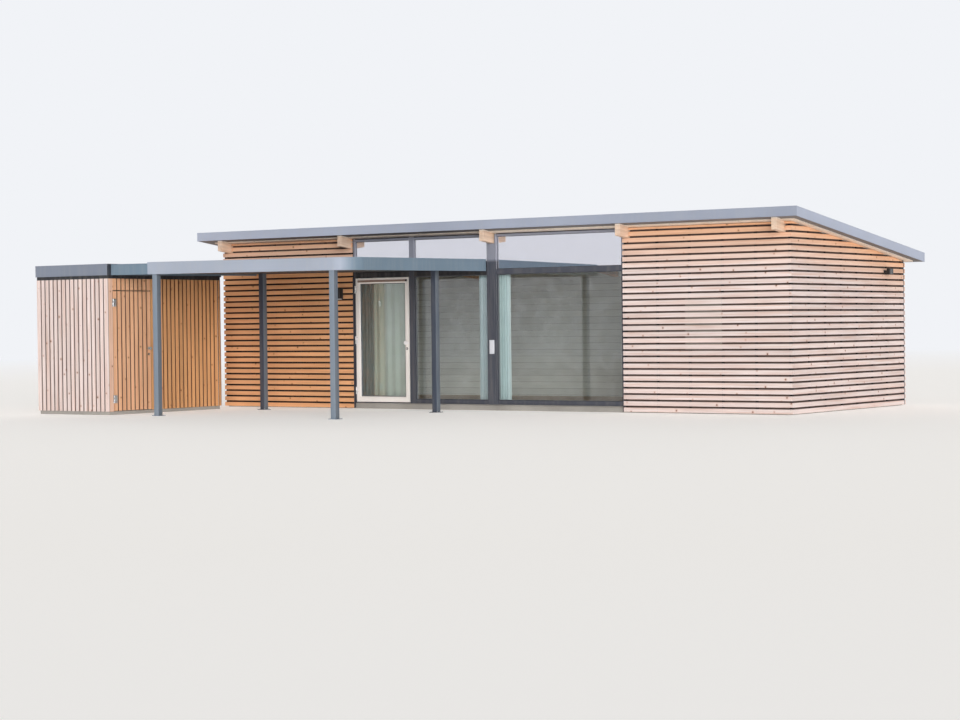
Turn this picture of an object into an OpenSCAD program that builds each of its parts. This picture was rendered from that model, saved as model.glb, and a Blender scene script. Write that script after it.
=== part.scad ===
// Single-storey timber beach house with a lean-to roof, a glazed front, a flat canopy and a store.
// The front faces -Y. The origin is at ground level, in the middle of the house's footprint.

/* [House] */
// Length of the house over the face of the slats
house_l = 11440; // [10400:10:12600]
// Depth of the house over the face of the slats
house_w = 4220; // [3800:20:5000]
// Height of the floor above the ground
floor_h = 100; // [60:10:200]
// Width of each closed stretch beside the glazing
closed_w = 2985; // [2600:5:3300]
// Thickness of the timber-frame walls
wall_t = 140; // [100:5:180]
// Height of the ceiling at the front face
front_h = 2955; // [2900:5:3200]
// Fall of the roof to the back, in degrees
roof_pitch = 7.2; // [5:0.1:8.5]

/* [Slats] */
// Distance from slat to slat
slat_pitch = 100; // [80:1:120]
// Open joint between two slats
slat_gap = 25; // [15:1:35]
// Thickness of a slat
slat_t = 22; // [16:1:30]
// Depth of the battens and membrane behind the slats
batten_t = 22; // [16:1:35]
// Height of the lowest slat above the ground
slat_foot = 13; // [8:1:40]

/* [Roof] */
// Overhang at the front
over_front = 310; // [300:10:450]
// Overhang at the left side
over_left = 350; // [150:10:400]
// Overhang at the right side
over_right = 250; // [150:10:400]
// Overhang at the back
over_back = 260; // [150:10:350]
// Thickness of the plywood ceiling and soffit
ply_t = 18; // [12:1:24]
// Thickness of the insulated roof deck
deck_t = 120; // [90:5:140]
// Height of the metal fascia
fascia_h = 150; // [145:5:190]
// Thickness of the metal fascia with its board
fascia_t = 30; // [20:1:40]
// How far the plywood runs past the walls, under the eaves
board_out = 105; // [60:5:105]
// Width of a laminated beam
beam_w = 90; // [70:5:120]
// Depth of a laminated beam
beam_h = 167; // [140:1:200]
// Length of the beam ends under the front eave
beam_out = 265; // [120:5:275]
// Distance of the outer beams from the outer face of the side walls
beam_side = 66; // [40:1:100]
// Distance of the beams beside the glazing from its edges
beam_lap = 28; // [20:1:60]

/* [Glazing] */
// Width of the main post in the glazing
post_w = 190; // [150:5:230]
// Place of the main post and its beam, to the right of the middle
post_x = 188; // [100:1:300]
// Face width of jambs
jamb_w = 40; // [30:1:60]
// Width of the mullion beside the door
mullion_w = 110; // [80:1:120]
// Depth of the window frames
frame_d = 80; // [60:1:90]
// Set-back of the window frames behind the slats
frame_in = 30; // [24:1:40]
// Height of the sills
sill_h = 70; // [40:1:100]
// Height of the transom's underside above the ground
transom_z = 2270; // [2200:5:2300]
// Height of the transom
transom_h = 86; // [60:1:110]
// Height of the window heads
head_h = 55; // [40:1:80]
// Thickness of the insulating glass
glass_t = 24; // [16:1:32]

/* [Door] */
// Width of the glazed door leaf
door_w = 1150; // [900:5:1200]
// Thickness of the door leaf
door_t = 60; // [45:1:62]
// Width of the door's stiles and rails
stile_w = 95; // [70:1:120]
// Height of the threshold
threshold_h = 12; // [8:1:18]
// Gap under and over the leaf
door_gap = 7; // [6:0.5:10]
// Gap at the hinge side
hinge_gap = 5; // [5:0.5:8]
// Gap at the lock side
lock_gap = 8; // [8:0.5:12]
// Radius of a hinge knuckle
knuckle_r = 9; // [7:0.5:10]
// Height of a hinge
hinge_h = 130; // [90:5:150]
// Distance of the outer hinges' middles from the leaf's ends
hinge_in = 195; // [150:5:260]
// Length of the leaf's hinge plate on the glazed door
hinge_plate = 40; // [30:1:60]
// Length of the leaf's hinge plate on the store's door
hatch_plate = 70; // [50:1:120]
// Height of the handle above the floor
handle_h = 1040; // [950:5:1150]
// Radius of a door knob
knob_r = 27; // [22:0.5:30]
// How far a door knob stands out
knob_out = 60; // [50:1:70]
// Distance of the lock's cylinder below the knob
lock_drop = 90; // [70:1:110]

/* [Canopy] */
// Length of the canopy, from the store to the main post
canopy_l = 5038; // [4900:2:5200]
// Projection of the canopy in front of the house
canopy_d = 3670; // [3500:10:3700]
// Lower edge of the canopy's fascia above the ground, at the inner corner
canopy_z = 2361; // [2345:1:2370]
// Fall of the canopy to the front, in degrees
fall_front = 0.54; // [0:0.02:0.6]
// Fall of the canopy to its free end, in degrees
fall_end = 0.4; // [0:0.02:0.5]
// Height of the canopy's fascia
canopy_h = 200; // [180:5:230]
// Radius of the free front corner, which a post stands inside
canopy_r = 360; // [100:10:360]
// Thickness of the canopy's fascia
canopy_t = 20; // [12:1:24]
// Height of the soffit above the fascia's lower edge
canopy_rise = 25; // [10:1:40]
// Thickness of the canopy's soffit board
canopy_ply = 12; // [9:1:18]
// Depth of the canopy's roof deck
canopy_deck = 135; // [100:1:138]
// Side of a square post
pole_w = 100; // [80:1:110]
// Distance between the left and right posts
pole_span = 3700; // [3650:5:3710]
// Distance of the right posts from the canopy's free end
pole_in = 379; // [372:1:390]
// Distance between the front and rear posts
pole_row = 2660; // [2400:10:2800]
// Joint between the canopy and the house, and beside the store
canopy_gap = 0.3; // [0.2:0.1:0.9]

/* [Store] */
// Width of the store
store_w = 1665; // [1500:5:1900]
// Clear distance from the store to the house's front
store_gap = 944; // [850:2:1000]
// How far the store's fascia stands in front of the canopy's
store_lead = 85; // [0:5:150]
// Thickness of the store's wall behind its slats
store_t = 50; // [40:1:70]
// Thickness of the store's floor
store_floor = 60; // [40:5:100]
// Underside of the store's fascia above the ground
store_z = 2326; // [2300:1:2340]
// Height of the store's fascia
store_fascia_h = 190; // [165:5:200]
// Projection of the store's fascia beyond its slats
store_over = 15; // [10:1:30]
// Dark joint between the slats and the fascia
store_joint = 16; // [8:1:25]
// Thickness of the store's roof deck
store_deck = 140; // [100:5:145]
// Number of slats across the store's door opening
hatch_n = 9; // [8:1:9]
// Height of the store's door opening above the ground
hatch_top = 2074; // [1950:2:2150]
// Thickness of the store's door leaf
hatch_t = 52; // [46:1:60]
// Gap round the store's door leaf
hatch_gap = 8; // [7:0.5:10]

/* [Fittings] */
// Width of the wall lamp
lamp_w = 80; // [60:5:110]
// Height of the wall lamp
lamp_h = 210; // [160:5:240]
// Projection of the wall lamp
lamp_d = 90; // [60:5:120]
// Distance of the wall lamp's middle from the glazing
lamp_x = 255; // [180:5:400]
// Middle of the wall lamp above the ground
lamp_z = 2000; // [1900:10:2100]
// Width of the floodlight's head
flood_w = 130; // [90:5:160]
// Height of the floodlight's head
flood_h = 100; // [70:5:130]
// Projection of the floodlight from the wall
flood_d = 150; // [110:5:180]
// Distance of the floodlight from the rear corner
flood_y = 830; // [600:10:1000]
// Middle of the floodlight above the ground
flood_z = 2230; // [2100:10:2260]
// Width of the white plate on the main post
plate_w = 98; // [80:1:120]
// Height of the white plate on the main post
plate_h = 232; // [180:2:260]
// Thickness of the white plate
plate_t = 12; // [6:1:20]
// Middle of the white plate above the ground
plate_z = 1060; // [950:5:1150]
// Width of a dark end trim
trim_w = 15; // [10:1:22]

/* [Hidden] */

skin_t = slat_t + batten_t;      // slats with their battens
x_face = house_l/2;              // right face of the slats
y_face = house_w/2;              // back face of the slats, and minus this the front face
x_core = x_face - skin_t;        // outer face of the side walls
y_core = y_face - skin_t;        // outer face of the back wall
x_in = x_core - wall_t;          // inner face of the side walls
y_in = y_core - wall_t;          // inner face of the back wall
x_glass = x_face - closed_w;     // edge of the glazing
x_deck0 = -x_face - over_left + fascia_t;
x_deck1 = x_face + over_right - fascia_t;
y_deck0 = -y_face - over_front + fascia_t;
y_deck1 = y_face + over_back - fascia_t;

// Underside of the ceiling at a distance y from the middle
function ceiling(y) = front_h - (y + y_face)*tan(roof_pitch);

// Middles of the five beams: over both side walls, both glazing edges and the main post
beam_edge = x_core - beam_w/2 - beam_side;
beam_mid = x_glass + beam_lap + beam_w/2;
beams = [-beam_edge, -beam_mid, post_x, beam_mid, beam_edge];

y_frame = -y_face + frame_in;    // front of the window frames
post_l = post_x - post_w/2;
post_r = post_x + post_w/2;
post_y = -y_face + 10;           // front of the main post
post_d = frame_in - 10 + frame_d;
leaf_x = -x_glass + jamb_w + hinge_gap;
mullion_x = leaf_x + door_w + lock_gap;
y_leaf = y_frame - 5;            // outer face of the door leaf
leaf_z0 = floor_h + threshold_h + door_gap;
leaf_z1 = transom_z - door_gap;
head_z = front_h - head_h;

canopy_x1 = post_l;              // free end of the canopy
canopy_x0 = canopy_x1 - canopy_l;
canopy_y1 = -y_face - canopy_gap;
canopy_y0 = canopy_y1 - canopy_d;
pole_xr = canopy_x1 - pole_in;
pole_xl = pole_xr - pole_span;
pole_yf = canopy_y0 + canopy_t + 3 + pole_w/2;
pole_yb = pole_yf + pole_row;

store_x1 = canopy_x0 - canopy_gap - store_over;
store_x0 = store_x1 - store_w;
store_y1 = -y_face - store_gap;
store_y0 = canopy_y0 - store_lead + store_over;
store_wall = slat_t + store_t;
store_n = round(store_w/slat_pitch);
store_top = store_z + store_joint;
store_phase = store_y0 + slat_t; // a joint of the side slats, next to the corner
hatch_y0 = store_phase + slat_pitch;
hatch_y1 = hatch_y0 + hatch_n*slat_pitch;
pin_out = knuckle_r + 2;         // from the face of a leaf out to its hinge pin
pin_in = 2;                      // from the pin along to the leaf's edge
hinge_x = leaf_x - pin_in;
hinge_y = y_leaf - pin_out;
hatch_hx = store_x1 + pin_out;
hatch_hy = hatch_y0 + hatch_gap - pin_in;
hatch_z0 = store_floor + hatch_gap;
hatch_z1 = hatch_top - hatch_gap;
seat = 0.05;                     // joint under and over the sloping ceiling
tiny = 1;

// Places a 2D shape drawn as (Y, Z) between two places along X
module yz(x0, x1) {
    translate([x0, 0, 0]) rotate([90, 0, 90]) linear_extrude(x1 - x0) children();
}
// Places a 2D shape drawn as (X, Z) between two places along Y
module xz(y0, y1) {
    translate([0, y1, 0]) rotate([90, 0, 0]) linear_extrude(y1 - y0) children();
}
// A box from its lowest to its highest corner
module box(a, b) {
    translate(a) cube(b - a);
}
// Outline in (Y, Z) that follows the ceiling, from a to b above its underside
function sloped(y0, y1, a, b) = [[y0, ceiling(y0) + a], [y1, ceiling(y1) + a],
    [y1, ceiling(y1) + b], [y0, ceiling(y0) + b]];
// Outline in (Y, Z) that stands at z and ends under the ceiling
function standing(y0, y1, z) = [[y0, z], [y1, z], [y1, ceiling(y1) - seat], [y0, ceiling(y0) - seat]];
// Outline of a slatted skin, as [depth, place along], with open joints at whole pitches from start
function comb(a0, a1, pitch, start, deep, thick) = concat([[thick, a0], [0, a0]],
    [for (n = [ceil((a0 - start + slat_gap)/pitch) : floor((a1 - start - slat_gap)/pitch)])
        let (c = start + n*pitch)
        each [[0, c - slat_gap/2], [deep, c - slat_gap/2], [deep, c + slat_gap/2], [0, c + slat_gap/2]]],
    [[0, a1], [thick, a1]]);
// Turns such an outline into (across, along), from a face, going in or out
function across(pts, face, way) = [for (p = pts) [face + way*p[0], p[1]]];
function along(pts, face, way) = [for (p = pts) [p[1], face + way*p[0]]];

// All five beams, up to a height above the underside of the ceiling
module beam_shape(top) {
    for (x = beams) yz(x - beam_w/2, x + beam_w/2)
        polygon(sloped(-y_face - beam_out, y_core, -beam_h, top));
}
// Everything above the underside of the ceiling
module above_ceiling() {
    yz(-house_l, house_l) polygon(sloped(-house_w, house_w, -seat, 2*fascia_h + house_w));
}

module floor_slab() color("gray") box([-x_core, -y_core, 0], [x_core, y_core, floor_h]);

module front_wall(x0, x1) difference() {
    yz(x0, x1) polygon(standing(-y_core, -y_in, floor_h));
    beam_shape(0);
}
module front_wall_left() color("wheat") front_wall(-x_in, -x_glass);
module front_wall_right() color("wheat") front_wall(x_glass, x_in);
module side_wall(x0, x1) difference() {
    yz(x0, x1) polygon(standing(-y_core, y_core, floor_h));
    beam_shape(0);
}
module left_wall() color("wheat") side_wall(-x_core, -x_in);
module right_wall() color("wheat") side_wall(x_in, x_core);
module back_wall() color("wheat") difference() {
    yz(-x_in, x_in) polygon(standing(y_in, y_core, floor_h));
    beam_shape(0);
}

// Horizontal slats on a long wall, with the beam ends let through
module long_skin(x0, x1, face, way) color("burlywood") difference() {
    yz(x0, x1) polygon(across(comb(slat_foot, front_h, slat_pitch, 0, slat_t, skin_t), face, way));
    above_ceiling();
    beam_shape(0);
}
module cladding_front_left() long_skin(-x_face, -x_glass, -y_face, 1);
module cladding_front_right() long_skin(x_glass, x_face, -y_face, 1);
module cladding_back() long_skin(-x_face, x_face, y_face, -1);
// Horizontal slats on a side wall, cut under the sloping roof
module side_skin(face, way) color("burlywood") difference() {
    xz(-y_core, y_core - trim_w)
        polygon(across(comb(slat_foot, front_h, slat_pitch, 0, slat_t, skin_t), face, way));
    above_ceiling();
}
module cladding_left() side_skin(-x_face, 1);
module cladding_right() side_skin(x_face, -1);

// Dark strips on the ends of the slats, beside the glazing and at the rear corners
module end_trims() color("dimgray") {
    for (s = [-1, 1]) {
        yz(s < 0 ? -x_glass : x_glass - trim_w, s < 0 ? -x_glass + trim_w : x_glass)
            polygon([[-y_face, slat_foot], [y_frame, slat_foot],
                [y_frame, transom_z], [-y_face, transom_z]]);
        yz(s < 0 ? -x_face : x_core, s < 0 ? -x_core : x_face)
            polygon(standing(y_core - trim_w, y_core, slat_foot));
    }
}

module roof_beams() color("tan") beam_shape(-seat);
// The plywood ends short of the fascia, with a tongue over each beam end
module ceiling_board() color("moccasin") {
    edge_x = x_face + board_out;
    edge_y = y_face + board_out;
    yz(-edge_x, edge_x) polygon(sloped(-edge_y, edge_y, 0, ply_t - seat));
    for (x = beams) yz(x - beam_w/2, x + beam_w/2)
        polygon(sloped(-y_face - beam_out, tiny - edge_y, 0, ply_t - seat));
}
module roof_deck() color("darkslategray")
    yz(x_deck0, x_deck1) polygon(sloped(y_deck0, y_deck1, ply_t, ply_t + deck_t));
module roof_edge(x0, x1, y0, y1) color("slategray")
    yz(x0, x1) polygon(sloped(y0, y1, ply_t, ply_t + fascia_h));
module roof_fascia_front()
    roof_edge(x_deck0 - fascia_t, x_deck1 + fascia_t, y_deck0 - fascia_t, y_deck0);
module roof_fascia_back()
    roof_edge(x_deck0 - fascia_t, x_deck1 + fascia_t, y_deck1, y_deck1 + fascia_t);
module roof_fascia_sides() {
    roof_edge(x_deck0 - fascia_t, x_deck0, y_deck0, y_deck1);
    roof_edge(x_deck1, x_deck1 + fascia_t, y_deck0, y_deck1);
}

module main_post() color("dimgray") difference() {
    yz(post_l, post_r) polygon(standing(post_y, post_y + post_d, floor_h));
    beam_shape(0);
}
// Jambs at both ends and the mullion beside the door
module window_uprights() color("dimgray") {
    for (x = [[-x_glass, -x_glass + jamb_w], [mullion_x, mullion_x + mullion_w],
              [x_glass - jamb_w, x_glass]])
        yz(x[0], x[1]) polygon(standing(y_frame, y_frame + frame_d, floor_h));
}
// Clear widths between the uprights: door, left pane and right pane
bays = [[-x_glass + jamb_w, mullion_x], [mullion_x + mullion_w, post_l], [post_r, x_glass - jamb_w]];
module window_rails() color("dimgray") {
    for (n = [0 : 2]) {
        foot = n == 0 ? threshold_h : sill_h;
        box([bays[n][0], y_frame, floor_h], [bays[n][1], y_frame + frame_d, floor_h + foot]);
        box([bays[n][0], y_frame, transom_z], [bays[n][1], y_frame + frame_d, transom_z + transom_h]);
        yz(bays[n][0], bays[n][1]) polygon([[y_frame, head_z], [y_frame + frame_d, head_z],
            [y_frame + frame_d, ceiling(y_frame + frame_d) - seat], [y_frame, ceiling(y_frame) - seat]]);
    }
}
y_glass = y_frame + (frame_d - glass_t)/2;
// Lower panes beside the door, and upper lights over all three bays
module window_panes() color("lightcyan", 0.4) {
    for (n = [1, 2])
        box([bays[n][0], y_glass, floor_h + sill_h], [bays[n][1], y_glass + glass_t, transom_z]);
    for (n = [0 : 2])
        box([bays[n][0], y_glass, transom_z + transom_h], [bays[n][1], y_glass + glass_t, head_z]);
}

module door_leaf() color("antiquewhite") difference() {
    box([leaf_x, y_leaf, leaf_z0], [leaf_x + door_w, y_leaf + door_t, leaf_z1]);
    box([leaf_x + stile_w, y_leaf - tiny, leaf_z0 + stile_w],
        [leaf_x + door_w - stile_w, y_leaf + door_t + tiny, leaf_z1 - stile_w]);
}
module door_glass() color("lightcyan", 0.4)
    box([leaf_x + stile_w, y_leaf + (door_t - glass_t)/2, leaf_z0 + stile_w],
        [leaf_x + door_w - stile_w, y_leaf + (door_t + glass_t)/2, leaf_z1 - stile_w]);

// Hinge, with X along the leaf from the pin, Y outwards and Z from its foot
// The leaf's half turns on top of the frame's half
module hinge_on_leaf(plate_l) {
    translate([0, 0, hinge_h/2]) cylinder(r = knuckle_r, h = hinge_h/2, $fn = 32);
    box([-2, -pin_out, hinge_h/2], [2, 0, hinge_h]);
    box([-2, -pin_out, hinge_h/2], [plate_l, 4 - pin_out, hinge_h]);
    box([knuckle_r + 1, -pin_out, 0], [plate_l, 4 - pin_out, hinge_h]);
}
// The frame's half, whose plate lies on a face that stands back behind the leaf's
module hinge_on_frame(back) {
    cylinder(r = knuckle_r, h = hinge_h/2 - 0.3, $fn = 32);
    box([-knuckle_r, -pin_out - back, 0], [-knuckle_r + 4, 0, hinge_h/2 - 0.3]);
    box([-24, -pin_out - back, 0], [-knuckle_r + 2, 4 - pin_out - back, hinge_h]);
}
// Places a hinge at each height, for the glazed door and for the store's door
module at_door_hinges()
    for (z = [leaf_z0 + hinge_in, (leaf_z0 + leaf_z1)/2, leaf_z1 - hinge_in])
        translate([hinge_x, hinge_y, z - hinge_h/2]) mirror([0, 1, 0]) children();
module at_store_hinges()
    for (z = [hatch_z0 + hinge_in, hatch_z1 - hinge_in])
        translate([hatch_hx, hatch_hy, z - hinge_h/2]) rotate(90) mirror([0, 1, 0]) children();
// Round knob on a rose, with the lock's cylinder below it, on a face that looks along -Y
module knob() rotate([90, 0, 0]) {
    cylinder(r = knob_r - 1, h = 8, $fn = 48);
    cylinder(r = 0.4*knob_r, h = knob_out - 20, $fn = 32);
    translate([0, 0, knob_out - 26]) cylinder(r = knob_r, h = 26, $fn = 48);
    translate([0, -lock_drop, 0]) cylinder(r = 0.6*knob_r, h = 12, $fn = 32);
}
module door_fittings() color("antiquewhite") {
    at_door_hinges() hinge_on_leaf(hinge_plate);
    translate([leaf_x + door_w - stile_w/2, y_leaf, floor_h + handle_h]) knob();
}
module hinge_frames() color("silver") {
    at_door_hinges() hinge_on_frame(y_frame - y_leaf);
    at_store_hinges() hinge_on_frame(0);
}

// The canopy falls to the front and to its free end; inside, it is drawn from its inner corner
module canopy_place()
    translate([canopy_x0, canopy_y1, canopy_z]) rotate([fall_front, fall_end, 0]) children();
module canopy_posts() color("slategray") difference() {
    for (x = [pole_xl, pole_xr], y = [pole_yf, pole_yb])
        box([x - pole_w/2, y - pole_w/2, 0], [x + pole_w/2, y + pole_w/2, canopy_z + canopy_h]);
    canopy_place() box([-canopy_l, -2*canopy_d, canopy_rise], [2*canopy_l, canopy_d, 3*canopy_h]);
}
// Plan of the canopy, smaller by inset at the store, along the front and at the free end
module canopy_plan(inset) {
    x1 = canopy_l - inset;
    y0 = inset - canopy_d;
    r = canopy_r - inset;
    difference() {
        translate([inset, y0]) square([x1 - inset, -y0]);
        translate([x1 - r, y0]) square([r, r]);
    }
    intersection() {
        translate([x1 - r, y0]) square([r, r]);
        translate([x1 - r, y0 + r]) circle(r = r, $fn = 96);
    }
}
module canopy_layer(z, h) canopy_place() translate([0, 0, z]) linear_extrude(h) canopy_plan(canopy_t);
module canopy_soffit() color("dimgray") canopy_layer(canopy_rise, canopy_ply);
module canopy_deck_slab() color("darkslategray") canopy_layer(canopy_rise + canopy_ply, canopy_deck);
module canopy_fascia() color("slategray")
    canopy_place() linear_extrude(canopy_h) difference() {
        canopy_plan(0);
        canopy_plan(canopy_t);
    }

module store_floor_slab() color("gray")
    box([store_x0 + slat_t, store_y0 + slat_t, 0], [store_x1 - slat_t, store_y1 - slat_t, store_floor]);
store_pitch_x = store_w/store_n;
// Slatted walls of the store: the front and back run its full width, the sides between them
module store_long(face, way) color("burlywood")
    translate([0, 0, store_floor]) linear_extrude(store_top - store_floor)
        polygon(along(comb(store_x0, store_x1, store_pitch_x, store_x0, slat_t, store_wall), face, way));
module store_front_wall() store_long(store_y0, 1);
module store_back_wall() store_long(store_y1, -1);
module store_side(y0, y1, z0, z1, face, way, thick) color("peru")
    translate([0, 0, z0]) linear_extrude(z1 - z0)
        polygon(across(comb(y0, y1, slat_pitch, store_phase, slat_t, thick), face, way));
module store_left_wall()
    store_side(store_y0 + store_wall, store_y1 - store_wall, store_floor, store_top,
        store_x0, 1, store_wall);
module store_right_wall()
    store_side(hatch_y1, store_y1 - store_wall, store_floor, store_top, store_x1, -1, store_wall);
module store_door_post()
    store_side(store_y0 + store_wall, hatch_y0, store_floor, store_top, store_x1, -1, store_wall);
module store_door_head() store_side(hatch_y0, hatch_y1, hatch_top, store_top, store_x1, -1, store_wall);
module store_door()
    store_side(hatch_y0 + hatch_gap, hatch_y1 - hatch_gap, hatch_z0, hatch_z1, store_x1, -1, hatch_t);
module store_roof() color("darkslategray")
    box([store_x0, store_y0, store_top], [store_x1, store_y1, store_top + store_deck]);
module store_fascia_ring() color("slategray") difference() {
    box([store_x0 - store_over, store_y0 - store_over, store_z],
        [store_x1 + store_over, store_y1 + store_over, store_z + store_fascia_h]);
    box([store_x0, store_y0, store_z - tiny], [store_x1, store_y1, store_z + store_fascia_h + tiny]);
}
module store_door_fittings() color("silver") {
    at_store_hinges() hinge_on_leaf(hatch_plate);
    translate([store_x1, hatch_y1 - hatch_gap - slat_pitch/2, store_floor + handle_h]) rotate(90) knob();
}

module wall_lamp() color("black")
    box([-x_glass - lamp_x - lamp_w/2, -y_face - lamp_d, lamp_z - lamp_h/2],
        [-x_glass - lamp_x + lamp_w/2, -y_face, lamp_z + lamp_h/2]);
module floodlight() color("black") {
    y = y_face - flood_y;
    arm = flood_h/4;
    box([x_face, y - arm, flood_z - arm], [x_face + flood_d/2, y + arm, flood_z + arm]);
    box([x_face + flood_d/2, y - flood_w/2, flood_z - flood_h/2],
        [x_face + flood_d, y + flood_w/2, flood_z + flood_h/2]);
}
module post_plate() color("white")
    box([post_x - plate_w/2, post_y - plate_t, plate_z - plate_h/2],
        [post_x + plate_w/2, post_y, plate_z + plate_h/2]);

floor_slab();
front_wall_left();
front_wall_right();
left_wall();
right_wall();
back_wall();
cladding_front_left();
cladding_front_right();
cladding_left();
cladding_right();
cladding_back();
end_trims();
roof_beams();
ceiling_board();
roof_deck();
roof_fascia_front();
roof_fascia_back();
roof_fascia_sides();
main_post();
window_uprights();
window_rails();
window_panes();
door_leaf();
door_glass();
door_fittings();
hinge_frames();
canopy_posts();
canopy_soffit();
canopy_deck_slab();
canopy_fascia();
store_floor_slab();
store_front_wall();
store_back_wall();
store_left_wall();
store_right_wall();
store_door_post();
store_door_head();
store_roof();
store_fascia_ring();
store_door();
store_door_fittings();
wall_lamp();
floodlight();
post_plate();
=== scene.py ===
import math
import random

import bmesh
import bpy
import numpy as np
from mathutils import Euler, Matrix, Vector


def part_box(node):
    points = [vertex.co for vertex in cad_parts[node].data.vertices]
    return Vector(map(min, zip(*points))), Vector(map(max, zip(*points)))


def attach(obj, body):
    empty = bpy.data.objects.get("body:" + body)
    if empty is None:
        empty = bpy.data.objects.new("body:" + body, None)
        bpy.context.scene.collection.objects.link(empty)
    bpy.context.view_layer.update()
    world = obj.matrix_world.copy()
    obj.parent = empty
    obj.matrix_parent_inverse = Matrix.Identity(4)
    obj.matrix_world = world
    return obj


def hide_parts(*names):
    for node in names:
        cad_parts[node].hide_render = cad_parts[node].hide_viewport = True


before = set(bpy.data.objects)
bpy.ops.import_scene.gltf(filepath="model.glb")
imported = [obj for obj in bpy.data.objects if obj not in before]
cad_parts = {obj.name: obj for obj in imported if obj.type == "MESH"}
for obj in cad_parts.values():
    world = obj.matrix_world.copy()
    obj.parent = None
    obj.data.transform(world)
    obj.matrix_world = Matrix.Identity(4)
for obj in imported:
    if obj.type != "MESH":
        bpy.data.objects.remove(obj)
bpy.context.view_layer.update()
scene = bpy.context.scene
chance = random.Random(7)

# Sizes that the frame gives, in metres. The house is even about X = 0, and its walls also about Y = 0
FACE_X, FACE_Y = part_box("cladding_back")[1][:2]  # faces of the slats
WALL_X, WALL_Y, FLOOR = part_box("floor_slab")[1]  # outer faces of the walls, and the floor inside
ROOM_X, ROOM_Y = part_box("back_wall")[1][0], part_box("back_wall")[0][1]
GLASS_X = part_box("front_wall_right")[0][0]  # end of the glazed front
SLAT_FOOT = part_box("cladding_back")[0][2]
BEAM_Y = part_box("roof_beams")[0][1]  # front ends of the beams
ROOF_X0, ROOF_Y0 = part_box("roof_fascia_front")[0][:2]
ROOF_X1, ROOF_Y1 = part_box("roof_fascia_back")[1][:2]
POST_LO, POST_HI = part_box("main_post")
PANE_LO, PANE_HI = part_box("window_panes")
FRAME_Y0, FRAME_Y1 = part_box("window_uprights")[0][1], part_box("window_uprights")[1][1]
DOOR_LO, DOOR_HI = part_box("door_leaf")
HATCH_LO, HATCH_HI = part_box("store_door")
STORE_LO, STORE_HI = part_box("store_front_wall")[0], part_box("store_back_wall")[1]

# Sizes that the frame doesn't give, in metres
FRONT = 2.955  # height of the ceiling over the face of the front slats
SLOPE = math.tan(math.radians(7.2))  # its fall to the back
PITCH, GAP, THICK = 0.100, 0.025, 0.022  # slats: from one to the next, the joint between, and the thickness
BATTEN_W, BATTEN_STEP = 0.044, 0.597
BEAMS = (-5.565, -2.808, 0.188, 2.808, 5.565)
BEAM_W, BEAM_H = 0.090, 0.167
PLY_T = 0.018  # thickness of the ceiling board
DECK_TOP = 0.138  # top of the roof deck over the underside of the ceiling board
TRANSOM, LIGHT_FOOT = 2.270, 2.356  # foot and top of the transom
MULLION = (-1.532, -1.422)
SHELTER = 2.42  # slats on the left front wall stand under the canopy below this
STORE_WALL = 0.072
STORE_SLAT_TOP = 2.271  # the boards end below the fascia, with a dark strip over them: painted shade in that recess
EASE = 0.004  # room between the slats' battens and the ceiling


def ceiling(y):
    return FRONT - (y + FACE_Y) * SLOPE


# Colours and materials

def rgb(*levels):
    """A linear colour from three sRGB levels, 0 to 255."""
    shares = [level / 255 for level in levels]
    return tuple(c / 12.92 if c <= 0.04045 else ((c + 0.055) / 1.055) ** 2.4 for c in shares) + (1.0,)


class Nodes:
    """Short ways to add nodes to a tree."""

    def __init__(self, tree):
        self.tree = tree

    def feed(self, socket, value):
        if isinstance(value, bpy.types.NodeSocket):
            self.tree.links.new(value, socket)
        else:
            socket.default_value = value

    def add(self, kind, inputs=None, out=0, **settings):
        node = self.tree.nodes.new("ShaderNode" + kind)
        for key, value in settings.items():
            setattr(node, key, value)
        for key, value in (inputs or {}).items():
            self.feed(node.inputs[key], value)
        return node.outputs[out]

    def math(self, operation, a, b=0.0, c=0.0):
        return self.add("Math", {0: a, 1: b, 2: c}, operation=operation)

    def blend(self, share, a, b):
        """A mix of two shaders, which becomes the surface."""
        ends = [node for node in self.tree.nodes if node.type.startswith("OUTPUT")]
        self.feed(ends[0].inputs["Surface"], self.add("MixShader", {0: share, 1: a, 2: b}))


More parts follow.
